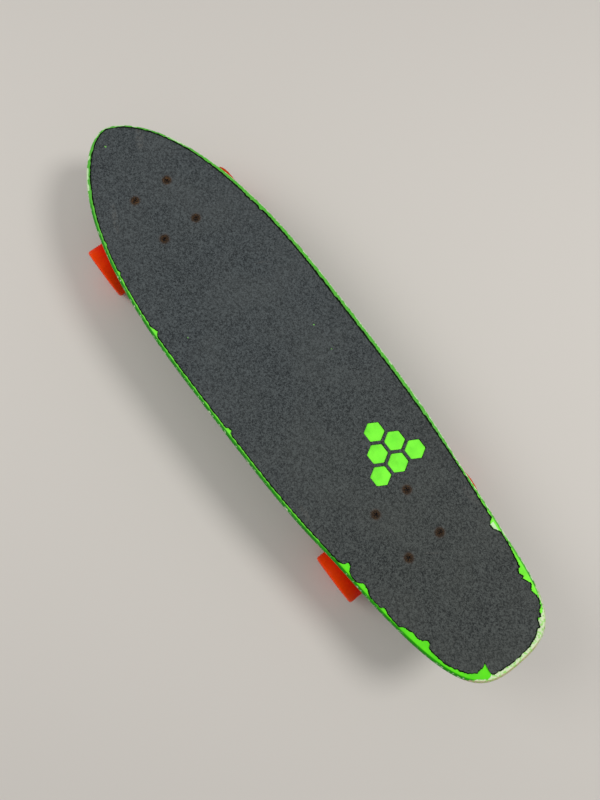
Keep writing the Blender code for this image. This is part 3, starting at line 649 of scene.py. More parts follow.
# %% Masks of the green paint
deck_paint = material("green_deck_paint", roughness=0.40, Specular_IOR_Level=0.12)
flat, rim = attribute("flat"), attribute("rim", "Fac")
along, across, height = parts(flat)

# how far in from the rim the tail is dragged bare: most at its end, less on its right side
dragged = ramp(along, -0.326, -0.338) * (ramp(across, 0.036, 0.026) * 0.0034 + 0.0034)
right_flank = ramp(along, -0.288, -0.320) * ramp(across, -0.020, -0.040) * 0.0030
bare, = use("Ragged", Vector=flat, Gradient=(dragged + right_flank - (rim + 0.0006)) * 330.0 + 0.5,
            Scale=260.0, Raggedness=1.5, Softness=0.08)
outer = ramp(rim, 0.0042, 0.0008) * ramp(height, -0.0070, -0.0040, 0.72, 1.0)
nose = ramp(along, 0.250, 0.300) * ramp(grains(flat, 75.0, 1.0), 0.40, 0.55)
right_side = ramp(across, -0.030, -0.060)
pale_chip = (ramp(maths("ABSOLUTE", along + 0.2460), 0.0070, 0.0050) * ramp(across, -0.064, -0.066)
             * ramp(rim, 0.0042, 0.0048) * ramp(height, -0.0030, -0.0010, 0.0, 0.62))
chipped = nose * ramp(rim, 0.0042, 0.0022) * ramp(height, -0.0050, -0.0030, 0.0, 0.70)
rubbed = largest(chipped, outer * (right_side * 0.11 + 0.42))
knocks, = use("Ragged", Vector=flat, Gradient=pale_chip + rubbed, Scale=240.0, Raggedness=0.9, Softness=0.05)
grime, = use("Grime", Vector=flat, Scale=90.0, Amount=0.55)
scratches, = use("Scratches", Vector=flat, Scale=16.0, Amount=0.16)
print("masks of the paint: bare wood, knocks, grime, scratches")

# %% Green paint over maple
# Two of these greens are painted light: the deep green of the rim's outer side is painted shade, and the pale
# green of its outermost edge is a painted highlight.
SHADED_SIDE_GREEN = shown(16, 128, 6)
HIGHLIGHT_GREEN = shown(150, 206, 104)
UNDER_GREEN = shown(40, 104, 22)
RIM_GREEN = shown(88, 178, 58)
TAIL_GREEN = shown(88, 226, 16)
TOP_GREEN = shown(128, 255, 58)
CLOUD_GREEN = shown(48, 186, 20)
STAIN_GREEN = shown(128, 214, 70)
GRIME_GREEN = shown(58, 66, 48)
PRIMER = shown(212, 238, 192)
MAPLE = shown(214, 204, 168)
DARK_MAPLE = shown(176, 154, 112)
GLUE = shown(112, 84, 54)
PLY = 0.0015

on_tail = ramp(along, -0.150, -0.185)
tail_left = on_tail * ramp(across, -0.035, -0.005)
# The rim is painted with light and shade: on the left and round the tail its top ledge is painted brighter,
# as painted light, and its outer side darker, as painted shade; elsewhere its outermost edge is painted
# paler, as a painted highlight. Beyond 10 mm from the rim the top keeps its own paint.
left = ramp(across, -0.02, 0.02) * ramp(along, 0.296, 0.278)
lit_left_ledge = left * ramp(along, 0.235, 0.195, 0.25, 0.8)
top_paint_and_lit_ledge = largest(ramp(rim, 0.0024, 0.0036) * largest(lit_left_ledge, on_tail), ramp(rim, 0.0080, 0.0100))
shaded_side = largest(left * 0.9, ramp(along, -0.270, -0.310, 0.0, 0.85))
highlit_edge = (1.0 - left) * ramp(along, -0.310, -0.270, 0.0, 0.6)
paint_coat = layered(RIM_GREEN, (tail_left, TAIL_GREEN),
                     (top_paint_and_lit_ledge, layered(TOP_GREEN, (tail_left * 0.8, TAIL_GREEN))),
                     (ramp(rim, 0.0030, 0.0020) * shaded_side, SHADED_SIDE_GREEN),
                     (ramp(rim, 0.0018, 0.0006) * highlit_edge, HIGHLIGHT_GREEN),
                     (ramp(height, -0.0080, -0.0098), UNDER_GREEN),
                     (ramp(grains(flat, 55.0, 3.0), 0.35, 0.8, 0.0, 0.35), CLOUD_GREEN))
plies = maths("ABSOLUTE", maths("FRACT", height * (1 / PLY)) - 0.5)
glue_line = ramp(plies, 0.32, 0.44) * ramp(height, -0.0006, -0.0010) * bare
fibres = grains(out("Mapping", Vector=flat, Scale=(1.0, 0.12, 1.0)), 900.0, 4.0)
sprayed = largest(ramp(rim, 0.0014, 0.0024), ramp(across, -0.018, -0.032))
wood = layered(MAPLE, (ramp(fibres, 0.35, 0.7, 0.0, 0.5), DARK_MAPLE), (sprayed * 0.75, PRIMER),
               (ramp(grains(flat, 420.0, 3.0), 0.50, 0.58) * 0.7, STAIN_GREEN), (glue_line * 0.9, GLUE))
worn = largest(bare, knocks * 0.6)
into(Base_Color=layered(paint_coat, (knocks * 0.85, PRIMER), (bare, wood), (grime * 0.25, GRIME_GREEN),
                        (scratches * ramp(height, -0.0085, -0.0102), PRIMER)),
     Roughness=largest(worn, grime) * 0.4 + 0.40,
     Normal=bump(worn * -1.0 + glue_line * -0.3, 0.00020, Normal=bump(grains(flat, 240.0), 0.00006)))
keep(deck, "deck_shell", "board", "deck_paint", "deck", finish=deck_paint)
print("painted:", deck.name, "with", len(deck_paint.node_tree.nodes), "nodes")

# %% [markdown]
# ## The grip tape
# Grip tape is sandpaper with a sticky back. It has been torn back from the rim in many places, more
# and more towards the tail, and beside its edge lies a dark film: glue left behind, and a painted
# shadow of the tape's edge. Both sheets are cut from the same outline: the boundary is divided into
# half-millimetre steps, and each point moves inwards by how deep the tape is torn there.

# %% Tears in the grip tape
# each tear is a line of (x, y, depth) in millimetres beside the edge of the flat tape
TEARS = {
    "left side, by the rear wheel": [
        (-140, 86, 0), (-161.5, 84, -0.8), (-172.5, 83, -0.6), (-176, 83, 0.2), (-178, 82, 0.8),
        (-180, 82, 2.5), (-180.7, 82, 5.3), (-182.5, 82, 6.8), (-185, 82, 5.9), (-186.5, 82, 3.2),
        (-188, 81, 0.8), (-191.5, 81, -0.9), (-200.5, 80, -1.0), (-203, 80, 0.6), (-205.5, 80, 2.5),
        (-209, 80, 3.4), (-212.5, 79, 2.8), (-215, 79, 1.6), (-218.5, 79, -0.4), (-222.5, 78, -1.2)],
    "left side of the kick": [
        (-222.5, 78, -1.2), (-233.5, 77, -1.0), (-235.5, 77, -0.3), (-236.5, 77, 1.4), (-239, 76, 2.1),
        (-241.5, 76, 1.4), (-243.5, 76, 0), (-249.5, 75, -0.3), (-260, 74, -0.6), (-262.5, 73, 1.1),
        (-265, 73, 2.7), (-269, 72, 3.7), (-272.5, 72, 4.3), (-276, 71, 4.1), (-279, 70, 3.2),
        (-281.5, 70, 3.6), (-284.5, 69, 5.2), (-286.5, 69, 7.6), (-289, 68, 8.3), (-291, 68, 6.9),
        (-292.5, 67, 3.4), (-296.5, 66, 2.3), (-301, 65, 2.0)],
    "left corner of the tail": [
        (-301, 65, 2.0), (-308, 63, 1.0), (-315, 60, 0.8), (-319.5, 58, 1.6), (-324, 56, 2.0),
        (-329.5, 52.5, 2.1), (-334.5, 48.5, 2.7), (-338, 45, 4.3), (-340, 42.5, 6.4), (-342.5, 38.5, 8.4),
        (-344, 35.5, 10.4), (-345, 33.6, 12.6), (-345.2, 32.6, 11.6), (-345.4, 32, 7.2),
        (-345.5, 31.6, 4.4), (-345.7, 31, 2.0), (-346, 30, 1.2), (-346.8, 28, 1.2), (-347.9, 22.7, 1.3),
        (-348.7, 17, 1.2), (-349.3, 9.3, 0.9)],
    "end of the tail": [(-349.3, 9.3, 0.9), (-349.4, 0.9, 0.6), (-349.1, -12.8, 0.9)],
    "right corner of the tail": [
        (-349.1, -12.8, 0.9), (-348.4, -20, 1.4), (-347.3, -25.7, 1.6), (-344.9, -33.6, 2.4),
        (-343.7, -36.3, 3.6), (-342.3, -38.9, 1.6), (-340.8, -41.4, 2.6), (-339.3, -43.4, 4.6),
        (-336.9, -46.2, 3.9), (-335.1, -48, 2.0), (-332, -50.7, 2.1), (-328, -53.5, 0.9),
        (-323, -56.5, 0.2), (-321, -57.4, 0.3)],
    "right side of the kick": [
        (-321, -57.4, 0.3), (-318.5, -59, 1.0), (-316.5, -60, 1.8), (-313, -61, 3.8), (-311.5, -62, 3.5),
        (-308, -63, 1.3), (-306, -64, 1.8), (-304.5, -64, 3.1), (-302.5, -65, 5.0), (-300.5, -65, 7.2),
        (-299, -66, 4.7), (-296.5, -66, 5.9), (-294, -67, 7.1), (-291, -68, 5.7), (-290, -68, 3.7),
        (-286.5, -69, 2.9), (-282.5, -70, 2.4), (-276.5, -71, 1.7), (-271.5, -72, 0.7)],
    "pale chip on the right": [
        (-271.5, -72, 0.7), (-258.5, -74, 0), (-253.5, -75, 0.4), (-251, -75, 2.2), (-248, -75, 4.1),
        (-245, -76, 5.6), (-242.5, -76, 5.8), (-239, -76, 3.7), (-237, -77, 1.6), (-234.5, -77, 1.0),
        (-219, -79, 1.0), (-200, -80, 0.6), (-180, -82, 0)],
    "right side, where the tape sits further in": [
        (320, -41, 0), (287, -60, 0.6), (262, -70, 1.0), (208, -84, 1.9), (176, -88, 2.0), (110, -93, 2.0),
        (-29, -92, 2.1), (-109, -89, 2.0), (-150, -85, 1.0), (-180, -82, 0)],
    "left side of the nose": [(340, 22, 0.3), (300, 55, 0.8), (285, 62, 0.4), (270, 68, 0.1), (240, 77, 0)],
    "left edge, middle": [(1.5, 88, 0), (-0.5, 88, 2.6), (-3.5, 88, 3.1), (-5.5, 88, 0)],
    "left edge, front": [(132, 89, 0), (129, 89, 1.8), (125.5, 90, 3.2), (124, 90, 1.3), (120.5, 90, 0)],
    "left front wheel": [(237.5, 68, 0), (234.5, 69, 1.2), (232.5, 70, 0)],
    "left front waist": [(204.5, 79, 0), (201.5, 80, 1.8), (198.5, 81, 0)],
    "right front": [
        (197.5, -81, 0), (194.5, -82, 1.6), (191.5, -82, 0.4), (188.5, -83, 1.2), (185.5, -83, 0)],
    "right front waist": [(177.5, -84, 0), (174.5, -85, 1.3), (170.5, -85, 0)],
}
GLUE_AND_SHADOW_MARGIN = 0.0010
GLUE_LOW = 0.00004


def torn_depth(at, here, tears):
    """How far inwards the tape is torn at a boundary point that is `at` millimetres along it."""
    # a fine raggedness, more of it towards the tail and none at the board's two tips
    fine = (noise.noise(here * 330) * 0.5 + noise.noise(here * 900) * 0.7) * min(1.0, abs(here.y) / 0.035)
    back = max(0.0, -0.16 - here.x) / 0.19
    # at the nose the whole tape sits up to 1.3 mm further in
    front = max(0.0, here.x - 0.22) / 0.13
    depth = 1.3 * front - 0.1 + (0.2 + 0.75 * back) * fine
    for knots in tears:
        if knots[0][0] <= at < knots[-1][0]:
            for (a, deep_a), (b, deep_b) in zip(knots, knots[1:]):
                if a <= at <= b:
                    deep = deep_a + (deep_b - deep_a) * (at - a) / max(b - a, 0.01)
                    depth += deep * (1 + 0.12 * fine)
                    break
    return depth / 1000


def cut_sheet(low, high, margin=0.0):
    """A sheet of the tape's torn outline between two heights, larger by a ragged margin."""
    sheet = outline(OUTLINE_STEPS)
    with editing(sheet):
        bpy.ops.mesh.edge_face_add()
        bpy.ops.mesh.inset(thickness=GRIP_INSET, use_even_offset=True)
        bpy.ops.mesh.select_all(action="INVERT")
        bpy.ops.mesh.delete(type="VERT")
        select_whole_mesh()
        bpy.ops.mesh.subdivide(number_cuts=7)
    ring = list(sheet.data.polygons[0].vertices)
    loop = [sheet.data.vertices[i].co.copy() for i in ring]
    distance = [0.0]
    for one, other in zip(loop, loop[1:]):
        distance.append(distance[-1] + (other - one).length * 1000)
    rim = nearest_of(loop)
    tears = [sorted((distance[rim.find((x / 1000, y / 1000, 0))[1]], depth) for x, y, depth in tear)
             for tear in TEARS.values()]
    for i, index in enumerate(ring):
        run = loop[(i + 3) % len(loop)] - loop[i - 3]
        inward = Vector((-run.y, run.x, 0)).normalized()
        if inward.dot(-loop[i]) < 0:
            inward = -inward
        # the dark film reaches further out on the right side and at the nose: glue left there,
        # and painted shadow beside the tape's edge
        sticky = 1 + 12 * max(0.0, -loop[i].y) + 9 * max(0.0, loop[i].x - 0.24)
        film_reach = margin * (sticky + 0.9 * noise.noise(loop[i] * 240 + Vector((0, 0, 5))))
        torn = torn_depth(distance[i], loop[i], tears)
        sheet.data.vertices[index].co = loop[i] + inward * (torn - film_reach)
    with editing(sheet):
        bpy.ops.transform.translate(value=(0, 0, low))
        pull((0, 0, high - low))
    in_rows(sheet)
    return sheet


grip = cut_sheet(GAP, GAP + GRIP_THICKNESS)
glue_and_shadow_film = cut_sheet(GLUE_LOW, GAP, GLUE_AND_SHADOW_MARGIN)
print("grip tape:", len(grip.data.vertices), "points,", len(TEARS), "tears")

# %% [markdown]
# Six hexagons are cut out ahead of the rear truck's bolts as a plain decoration that shows the
# green paint. The dark film is cut a little smaller there, so each window keeps a thin dark border:
# glue, and a painted shadow of the window's cut edge.

# %% Windows and bolt holes of the grip tape
CELL_WIDTH = 0.020
CELL_PITCH = 0.023
CELLS_AHEAD = 0.054
CELLS_ASIDE = -0.031
CELL_CORNER = 0.0008
GLUE_AND_SHADOW_BORDER = 0.0007


def window_cutter(width):
    step = CELL_PITCH * math.cos(math.pi / 6)
    return repeated(rounded(hexagon(width, -0.01, 0.01), CELL_CORNER, 3),
                    [Vector((REAR_TRUCK_X + CELLS_AHEAD + row * step,
                             CELLS_ASIDE + CELL_PITCH * (i - (2 - row) / 2), 0))
                     for row in range(3) for i in range(3 - row)])


for sheet, width in ((grip, CELL_WIDTH), (glue_and_shadow_film, CELL_WIDTH - GLUE_AND_SHADOW_BORDER)):
    combine(sheet, window_cutter(width))
    combine(sheet, bolt_cutter())
print("grip tape with its windows:", len(grip.data.polygons), "faces")

# %% [markdown]
# The tape is black sand on black glue, and years of dust and shoes have turned it grey. Up close
# it is a field of light and dark crystals. Lighter scuffs lie where feet and kerbs rub, rust has
# crept out of the bolt holes, and here and there a chip shows the green below. The cut edge of the
# tape is painted near black: its dark paper, and painted shade on that upright face.

# %% Marks on the grip tape
vector, ahead, aside, long, wide, turn = group(
    "Spot", ["Mask"], Vector=None, Along=0.0, Across=0.0, Long=0.003, Wide=0.002, Turn=0.0)
ragged = out("TexNoise", output="Color", Vector=vector, Scale=700.0, Detail=2.0)
shaken = out("VectorMath", {"operation": "MULTIPLY_ADD"}, i0=ragged, i1=(0.0012, 0.0012, 0), i2=vector)
local = out("Mapping", {"vector_type": "TEXTURE"}, Vector=shaken,
            Location=out("CombineXYZ", X=ahead, Y=aside), Rotation=out("CombineXYZ", Z=turn),
            Scale=out("CombineXYZ", X=long, Y=wide, Z=1.0))
squashed = out("VectorMath", {"operation": "MULTIPLY"}, i0=local, i1=(1, 1, 0))
give(ramp(out("VectorMath", {"operation": "LENGTH"}, "Value", i0=squashed), 1.0, 0.55))

# (x, y, length, width, turn) in millimetres and degrees on the flat board
CHIPS = {"nose chip": (330.5, 11, 3.2, 2.0, 20), "left chip": (102.5, 65, 2.0, 1.4, 0),
         "middle chip": (35.5, -50, 2.2, 1.5, 40), "second middle chip": (3.5, -49, 2.0, 1.3, 10)}
SCUFFS = {"left waist scuff": (-116.5, 78, 26, 7, -4), "right rear scuff": (-204.5, -69, 30, 8, 5),
          "right scratch": (123.5, -48, 22, 1.6, 62), "tail scratch": (-224.5, 0, 26, 1.5, 52),
          "nose rub": (319.5, -26, 40, 12, -32), "left rub": (256.5, 50, 46, 8, -24)}


def marks(flat, places):
    """The largest of several spots."""
    mask = 0.0
    for x, y, length, width, turn in places.values():
        spot, = use("Spot", Vector=flat, Along=x / 1000, Across=y / 1000, Long=length / 2000,
                    Wide=width / 2000, Turn=math.radians(turn))
        mask = largest(mask, spot)
    return mask


def from_bolts(along, across):
    """Distance to the nearest bolt: the pattern is symmetric, so it is folded onto one corner."""
    corner = (PATTERN_LENGTH / 2, PATTERN_WIDTH / 2, 0)
    nearest = []
    for x, heading in TRUCKS.values():
        folded = out("VectorMath", {"operation": "ABSOLUTE"}, i0=out("CombineXYZ", X=along - x, Y=across))
        nearest.append(out("VectorMath", {"operation": "DISTANCE"}, "Value", i0=folded, i1=corner))
    return maths("MINIMUM", *nearest)


print("marks:", len(CHIPS), "chips and", len(SCUFFS), "scuffs")

# %% Grip tape finish
grip_finish = material("worn_grip_tape", roughness=0.88, Specular_IOR_Level=0.2)
flat = attribute("flat")
along, across = parts(flat)[:2]
speckle, sand = use("Grit", Vector=flat, Grains_per_metre=1250.0)
rubbed = marks(flat, SCUFFS) * 0.22 * ramp(grains(flat, 420.0, 3.0), 0.35, 0.6)
chips = marks(flat, CHIPS) * 0.9
crept = from_bolts(along, across) + grains(flat, 380.0) * 0.0016
into(Base_Color=layered(shown(32, 36, 38), (ramp(speckle, 0.1, 0.9), shown(81, 87, 88)),
                        (ramp(grains(flat, 14.0, 4.0), 0.35, 0.7) * 0.2, shown(86, 90, 88)),
                        (ramp(along, 0.10, -0.25), (1.0, 0.96, 0.88, 1.0), "MULTIPLY"),
                        (rubbed, shown(112, 110, 104)),
                        (ramp(crept, 0.0080, 0.0044) * 0.5, shown(74, 48, 30)), (chips, shown(112, 178, 84))),
     Roughness=0.9 - rubbed * 0.3,
     Normal=bump(sand - chips, 0.00022, 0.6))

# the tape's upright cut edge: its dark paper, and painted shade on that face
tape_edge = material("cut_edge_of_grip_tape", roughness=0.8, Specular_IOR_Level=0.1)
shade = grains(attribute("flat"), 900.0, 3.0)
into(Base_Color=layered(shown(7, 9, 7), (ramp(shade, 0.35, 0.7), shown(22, 23, 20))),
     Normal=bump(shade, 0.0001))

# dark glue under the tape; where it shows beside the tape's edge and round the windows, it is also a painted
# shadow of that edge
glue_and_shadow_finish = material("old_grip_glue_and_painted_shadow", roughness=0.6, Specular_IOR_Level=0.05)
shade = grains(attribute("flat"), 500.0, 4.0)
into(Base_Color=layered(shown(5, 14, 4), (ramp(shade, 0.4, 0.7), shown(14, 44, 6))),
     Normal=bump(shade, 0.00008))

for piece, finish in ((grip, grip_finish), (grip, tape_edge), (glue_and_shadow_film, glue_and_shadow_finish)):
    piece.data.materials.append(finish)
for face in grip.data.polygons:
    face.material_index = int(abs(face.normal.z) < 0.5)
for sheet in (grip, glue_and_shadow_film):
    bent(sheet)
sheet = keep(joined(glue_and_shadow_film, grip), "grip_sheet", "board", "grip", "grip_tape")
print("grip sheet:", [made.name for made in sheet.data.materials])

# %% [markdown]
# ## Metals, plastics and urethane
# The trucks are cast aluminium with a sandy skin that has gone dull in patches. Nuts, washers
# and pins are zinc plated steel, with fine rings from the lathe. The deck bolts have lost their
# plating and are brown with rust, paler at the head's rim and on the two foremost bolts, and
# darkest in the recess.

# %% Metal finishes
def steel(name, rust, bright=(176, 176, 174), roughness=0.34, gloss=0.5):
    """Plated steel with lathe rings and as much rust as asked for."""
    made = material(name, roughness=roughness, Specular_IOR_Level=gloss)
    place = on_piece()
    along, across = parts(place)[:2]
    spots, = use("Ragged", Vector=place, Gradient=rust, Scale=420.0, Raggedness=0.9, Softness=0.12)
    grime, = use("Grime", Vector=place, Scale=130.0, Amount=0.5)
    bark = grains(place, 700.0, 5.0)
    outer = ramp(from_bolts(along, across), 0.0029, 0.0043, 0.0, 0.5)
    brown = layered(shown(14, 7, 3), (ramp(bark, 0.42, 0.66), shown(80, 54, 26)),
                    (ramp(along, 0.225, 0.200, 0.0, 0.35), shown(14, 7, 2)), (outer, shown(78, 64, 48)))
    into(Base_Color=layered(shown(*bright), (grime * 0.5, shown(84, 80, 74)), (spots, brown)),
         Metallic=1.0 - spots,
         Roughness=largest(spots, grime) * 0.4 + roughness,
         Normal=bump(bark * spots, 0.0003, Normal=bump(lathe_rings(2400.0, 2.0), 0.00004)))
    return made


zinc = steel("zinc_plated_steel", rust=0.16)
axle_steel = steel("axle_steel", rust=0.24, bright=(158, 156, 152), roughness=0.4)
rusty = steel("rusty_bolt_steel", rust=0.98, bright=(90, 70, 50), gloss=0.2)
shield_metal = steel("bearing_shield", rust=0.1, bright=(142, 143, 146), roughness=0.3)

cast = material("cast_aluminium", metallic=1.0, roughness=0.42)
place = on_piece()
sand = use("Grit", Vector=place, Grains_per_metre=1400.0)[1]
grime, = use("Grime", Vector=place, Scale=38.0, Amount=0.9)
scars, = use("Scratches", Vector=place, Scale=45.0, Amount=0.8)
into(Base_Color=layered(shown(186, 187, 188), (grime * 0.6, shown(112, 110, 106)),
                        (scars, shown(214, 214, 214))),
     Roughness=grime * 0.25 + 0.40 - scars * 0.15,
     Normal=bump(sand, 0.00012, 0.5, Normal=bump(grains(place, 160.0), 0.0003, 0.6)))
print("metals:", [made.name for made in (zinc, axle_steel, rusty, shield_metal, cast)])

# %% [markdown]
# Moulded pieces have a matt skin on which dust has settled.

# %% Plastic, rubber and nylon finishes
def moulded(name, colour, dusty, roughness, scale=300.0, height=0.00005):
    """A moulded plastic, rubber or nylon with a little dust on it."""
    made = material(name, roughness=roughness)
    place = on_piece()
    grime, = use("Grime", Vector=place, Scale=70.0, Amount=0.7)
    skin = grains(place, scale, 3.0)
    into(Base_Color=layered(shown(*colour), (ramp(skin, 0.3, 0.7, 0.0, 0.25), shown(*dusty)),
                            (grime * 0.55, shown(*dusty))),
         Roughness=grime * 0.3 + roughness,
         Normal=bump(skin, height))
    return made


nylon = moulded("lock_nut_nylon", (206, 212, 214), (150, 146, 138), 0.45)
riser_plastic = moulded("riser_plastic", (26, 26, 27), (74, 71, 66), 0.5, 900.0, 0.00012)
cup_plastic = moulded("pivot_cup_plastic", (34, 34, 35), (80, 76, 70), 0.5)
bushing_urethane = moulded("bushing_urethane", (196, 74, 22), (120, 74, 48), 0.36, 260.0, 0.0001)
# near black inside the bolts' cross recess: dirt, and painted shade
recess_dirt_and_shade = moulded("dirt_and_painted_shade_in_the_recess", (14, 7, 3), (40, 22, 10), 0.85, 900.0, 0.0002)
print("finishes so far:", len(bpy.data.materials))

# %% [markdown]
# ## The deck bolts
# A deck bolt is countersunk, with a cross recess, and its shank carries a real thread: a small
# triangle wound up the shank by the Screw modifier. One bolt is modelled and copied to the eight
# places, each turned a little differently, as a hand would leave them.

# %% One deck bolt
BOLT_LENGTH = 0.032
BOLT_CORE = 0.00205                             # the radius between the threads
BOLT_PITCH, BOLT_TURNS = 0.0008, 24
RECESS_ARM = 0.0025
RECESS_SLOT = 0.0013
RECESS_DEPTH = 0.0015
RECESS_TAPER = 0.62
RECESS_DARK_LOW, RECESS_DARK_HIGH, RECESS_DARK_RADIUS = -0.0017, -0.0001, 0.0027


def paint(piece, finish, test):
    """Give some faces of a piece a second finish."""
    piece.data.materials.append(finish)
    for face in piece.data.polygons:
        if test(face.center):
            face.material_index = len(piece.data.materials) - 1


def thread(radius, pitch, start, turns, sides=24):
    """A helical ridge on a shank that stands along Z."""
    bpy.ops.mesh.primitive_circle_add(vertices=3, radius=pitch * 0.56)
    ridge = bpy.context.object
    put(ridge, Matrix.Translation((radius, 0, start)) @ Matrix.Rotation(math.pi / 2, 4, "X")
        @ Matrix.Rotation(-math.pi / 2, 4, "Z"))
    modify(ridge, "SCREW", axis="Z", angle=2 * math.pi, screw_offset=pitch, iterations=turns,
           steps=sides, render_steps=sides, use_normal_calculate=True)
    with editing(ridge):
        bpy.ops.mesh.fill_holes(sides=3)
        select_whole_mesh()
        bpy.ops.mesh.normals_make_consistent(inside=False)
    return ridge


def cross_recess(piece):
    """Cut a cross recess into a head whose top is at z = 0."""
    for turn in (0, math.pi / 2):
        arm = block(2 * RECESS_ARM, RECESS_SLOT, -RECESS_DEPTH, RECESS_DEPTH)
        narrowed(arm, -RECESS_DEPTH, RECESS_TAPER, RECESS_TAPER)
        combine(piece, put(arm, Matrix.Rotation(turn, 4, "Z")))


bolt = turned([(0.0016, -BOLT_LENGTH), (0.0020, -BOLT_LENGTH + 0.0005), (BOLT_CORE, -0.0118),
               (BOLT_SHANK_RADIUS, -0.0112), (BOLT_SHANK_RADIUS, -0.0029), (BOLT_HEAD_RADIUS, -0.0006),
               (BOLT_HEAD_RADIUS, -0.0002), (0.0041, 0)], 48, solid=True)
cross_recess(bolt)
eased(bolt, 0.00014, 50)
bolt.data.materials.append(rusty)
# the faces inside the cross recess are painted near black: dirt, and painted shade of the recess
paint(bolt, recess_dirt_and_shade,
      lambda at: RECESS_DARK_LOW < at.z < RECESS_DARK_HIGH and math.hypot(at.x, at.y) < RECESS_DARK_RADIUS)
ridge = thread(BOLT_CORE, BOLT_PITCH, BOLT_PITCH - BOLT_LENGTH, BOLT_TURNS)
ridge.data.materials.append(rusty)
bolt = joined(ridge, bolt)
print("one bolt:", len(bolt.data.vertices), "points")

# %% [markdown]
# ## Lock nuts
# A lock nut is a hexagon whose corners are turned off, with a round collar that holds a nylon
# ring. A barrel that is turned on the lathe meets the hexagon in just those round-cornered
# chamfers, so the two are intersected.

# %% Lock nuts
def lock_nut(width, height, collar, bore, sides=48):
    """A lock nut with its seat at z = 0 and its collar below."""
    near, far, drop = 0.485 * width, 0.60 * width, 0.066 * width
    chamfers = turned([(near, -height), (far, -height + drop), (far, -drop), (near, 0)], sides, solid=True)
    nut = healed(combine(hexagon(width, -height, 0), chamfers, "INTERSECT"))
    hole = bore / 2 + 0.0002
    healed(combine(nut, turned([(hole, -height - 0.001), (hole, 0.001)], sides, solid=True)))
    healed(eased(nut, 0.00018, 28))
    rim = width / 2 - 0.0006
    lip = rim - 0.0011
    end = -height - collar
    shell = turned([(rim, -height + 0.0004), (rim, end + 0.0006), (rim - 0.0004, end + 0.0001), (lip, end),
                    (lip, end + 0.0005), (lip, -height + 0.0004)], sides)
    insert = turned([(lip + 0.0002, -height + 0.0002), (lip + 0.0002, end + 0.0004),
                     (hole - 0.0001, end + 0.0007), (hole - 0.0001, -height + 0.0002)], sides)
    nut.data.materials.clear()
    for piece, finish in ((shell, zinc), (insert, nylon), (nut, zinc)):
        piece.data.materials.append(finish)
    return joined(shell, insert, nut)


AXLE_NUT_HEIGHT, AXLE_NUT_COLLAR = 0.0046, 0.0018
KINGPIN_NUT_HEIGHT, KINGPIN_NUT_COLLAR = 0.0070, 0.0020

deck_nut = lock_nut(0.0095, 0.0042, 0.0018, 0.0048, 32)
axle_nut = lock_nut(0.013, AXLE_NUT_HEIGHT, AXLE_NUT_COLLAR, 0.008)
kingpin_nut = lock_nut(0.0143, KINGPIN_NUT_HEIGHT, KINGPIN_NUT_COLLAR, 0.0095)
print("nuts:", [len(nut.data.polygons) for nut in (deck_nut, axle_nut, kingpin_nut)], "faces")

# %% [markdown]
# ## Wheels
# The wheels are cast urethane, 60 mm across and 43 mm wide, with rounded lips, a moulded ring on
# the side and a coned face that falls to the bearing. On a lathe, such a wheel is one closed
# profile. The urethane is orange, painted a deeper red towards the truck as painted shade under
# the deck, and the wheels on the right are painted browner, as painted shade of the deck.

# %% One wheel and its bearing
WHEEL_RADIUS = 0.030
WHEEL_HALF = 0.0215
WHEEL_LIP = 0.0026
LIP_STEPS = 6
BEARING_HALF = 0.0035
BEARING_MIDDLE = 0.0085
SPEED_WASHER_THICKNESS = 0.0009


def mirrored(half):
    """A profile from its half above z = 0, which comes first."""
    return half + [(radius, -height) for radius, height in reversed(half)]


lip = [(WHEEL_RADIUS - WHEEL_LIP * (1 - math.cos(a)), WHEEL_HALF - WHEEL_LIP * (1 - math.sin(a)))
       for a in (math.pi / 2 * i / LIP_STEPS for i in range(LIP_STEPS + 1))]
groove = [(0.0262, WHEEL_HALF), (0.0259, WHEEL_HALF - 0.0004), (0.0253, WHEEL_HALF - 0.0004),
          (0.0250, WHEEL_HALF), (0.0225, WHEEL_HALF), (0.0216, WHEEL_HALF - 0.0005)]
cone = [(0.0185, 0.0172), (0.0150, 0.0126), (0.0143, 0.0121), (0.0118, 0.0121), (0.01135, 0.0117)]
seat = [(0.01135, 0.0047), (0.0098, 0.0047)]
wheel = turned(mirrored([(WHEEL_RADIUS, 0.008)] + lip + groove + cone + seat), 128)

bearing = turned(mirrored([
    (0.0110, 0.0030), (0.0107, BEARING_HALF), (0.0096, BEARING_HALF), (0.0094, 0.0030), (0.0090, 0.0029),
    (0.0088, 0.0031), (0.0070, 0.0031), (0.0068, 0.0029), (0.0064, 0.0030), (0.0062, BEARING_HALF),
    (0.0046, BEARING_HALF), (0.00430, 0.0032)]), 72)
bearing.data.materials.append(zinc)
paint(bearing, shield_metal, lambda at: 0.0064 < math.hypot(at.x, at.y) < 0.0095 and abs(at.z) > 0.0025)
speed_washer = turned([(0.0043, 0), (0.0062, 0), (0.0062, SPEED_WASHER_THICKNESS),
                       (0.0043, SPEED_WASHER_THICKNESS)], 48, rounding=0.0002)
print("one wheel:", len(wheel.data.vertices), "points, bearing:", len(bearing.data.vertices))

# %% Urethane of the wheels
urethane = material("wheel_urethane", roughness=0.42, Specular_IOR_Level=0.04)
place = on_piece()
radius, height = parts(attribute("lathe"))[:2]
rolled = ramp(radius, 0.0288, 0.0298) * ramp(maths("ABSOLUTE", height), 0.0195, 0.0165)
grime, = use("Grime", Vector=place, Scale=120.0, Amount=0.8)
dirt = grime * (rolled * 0.6 + 0.25)
side = parts(place)[1]
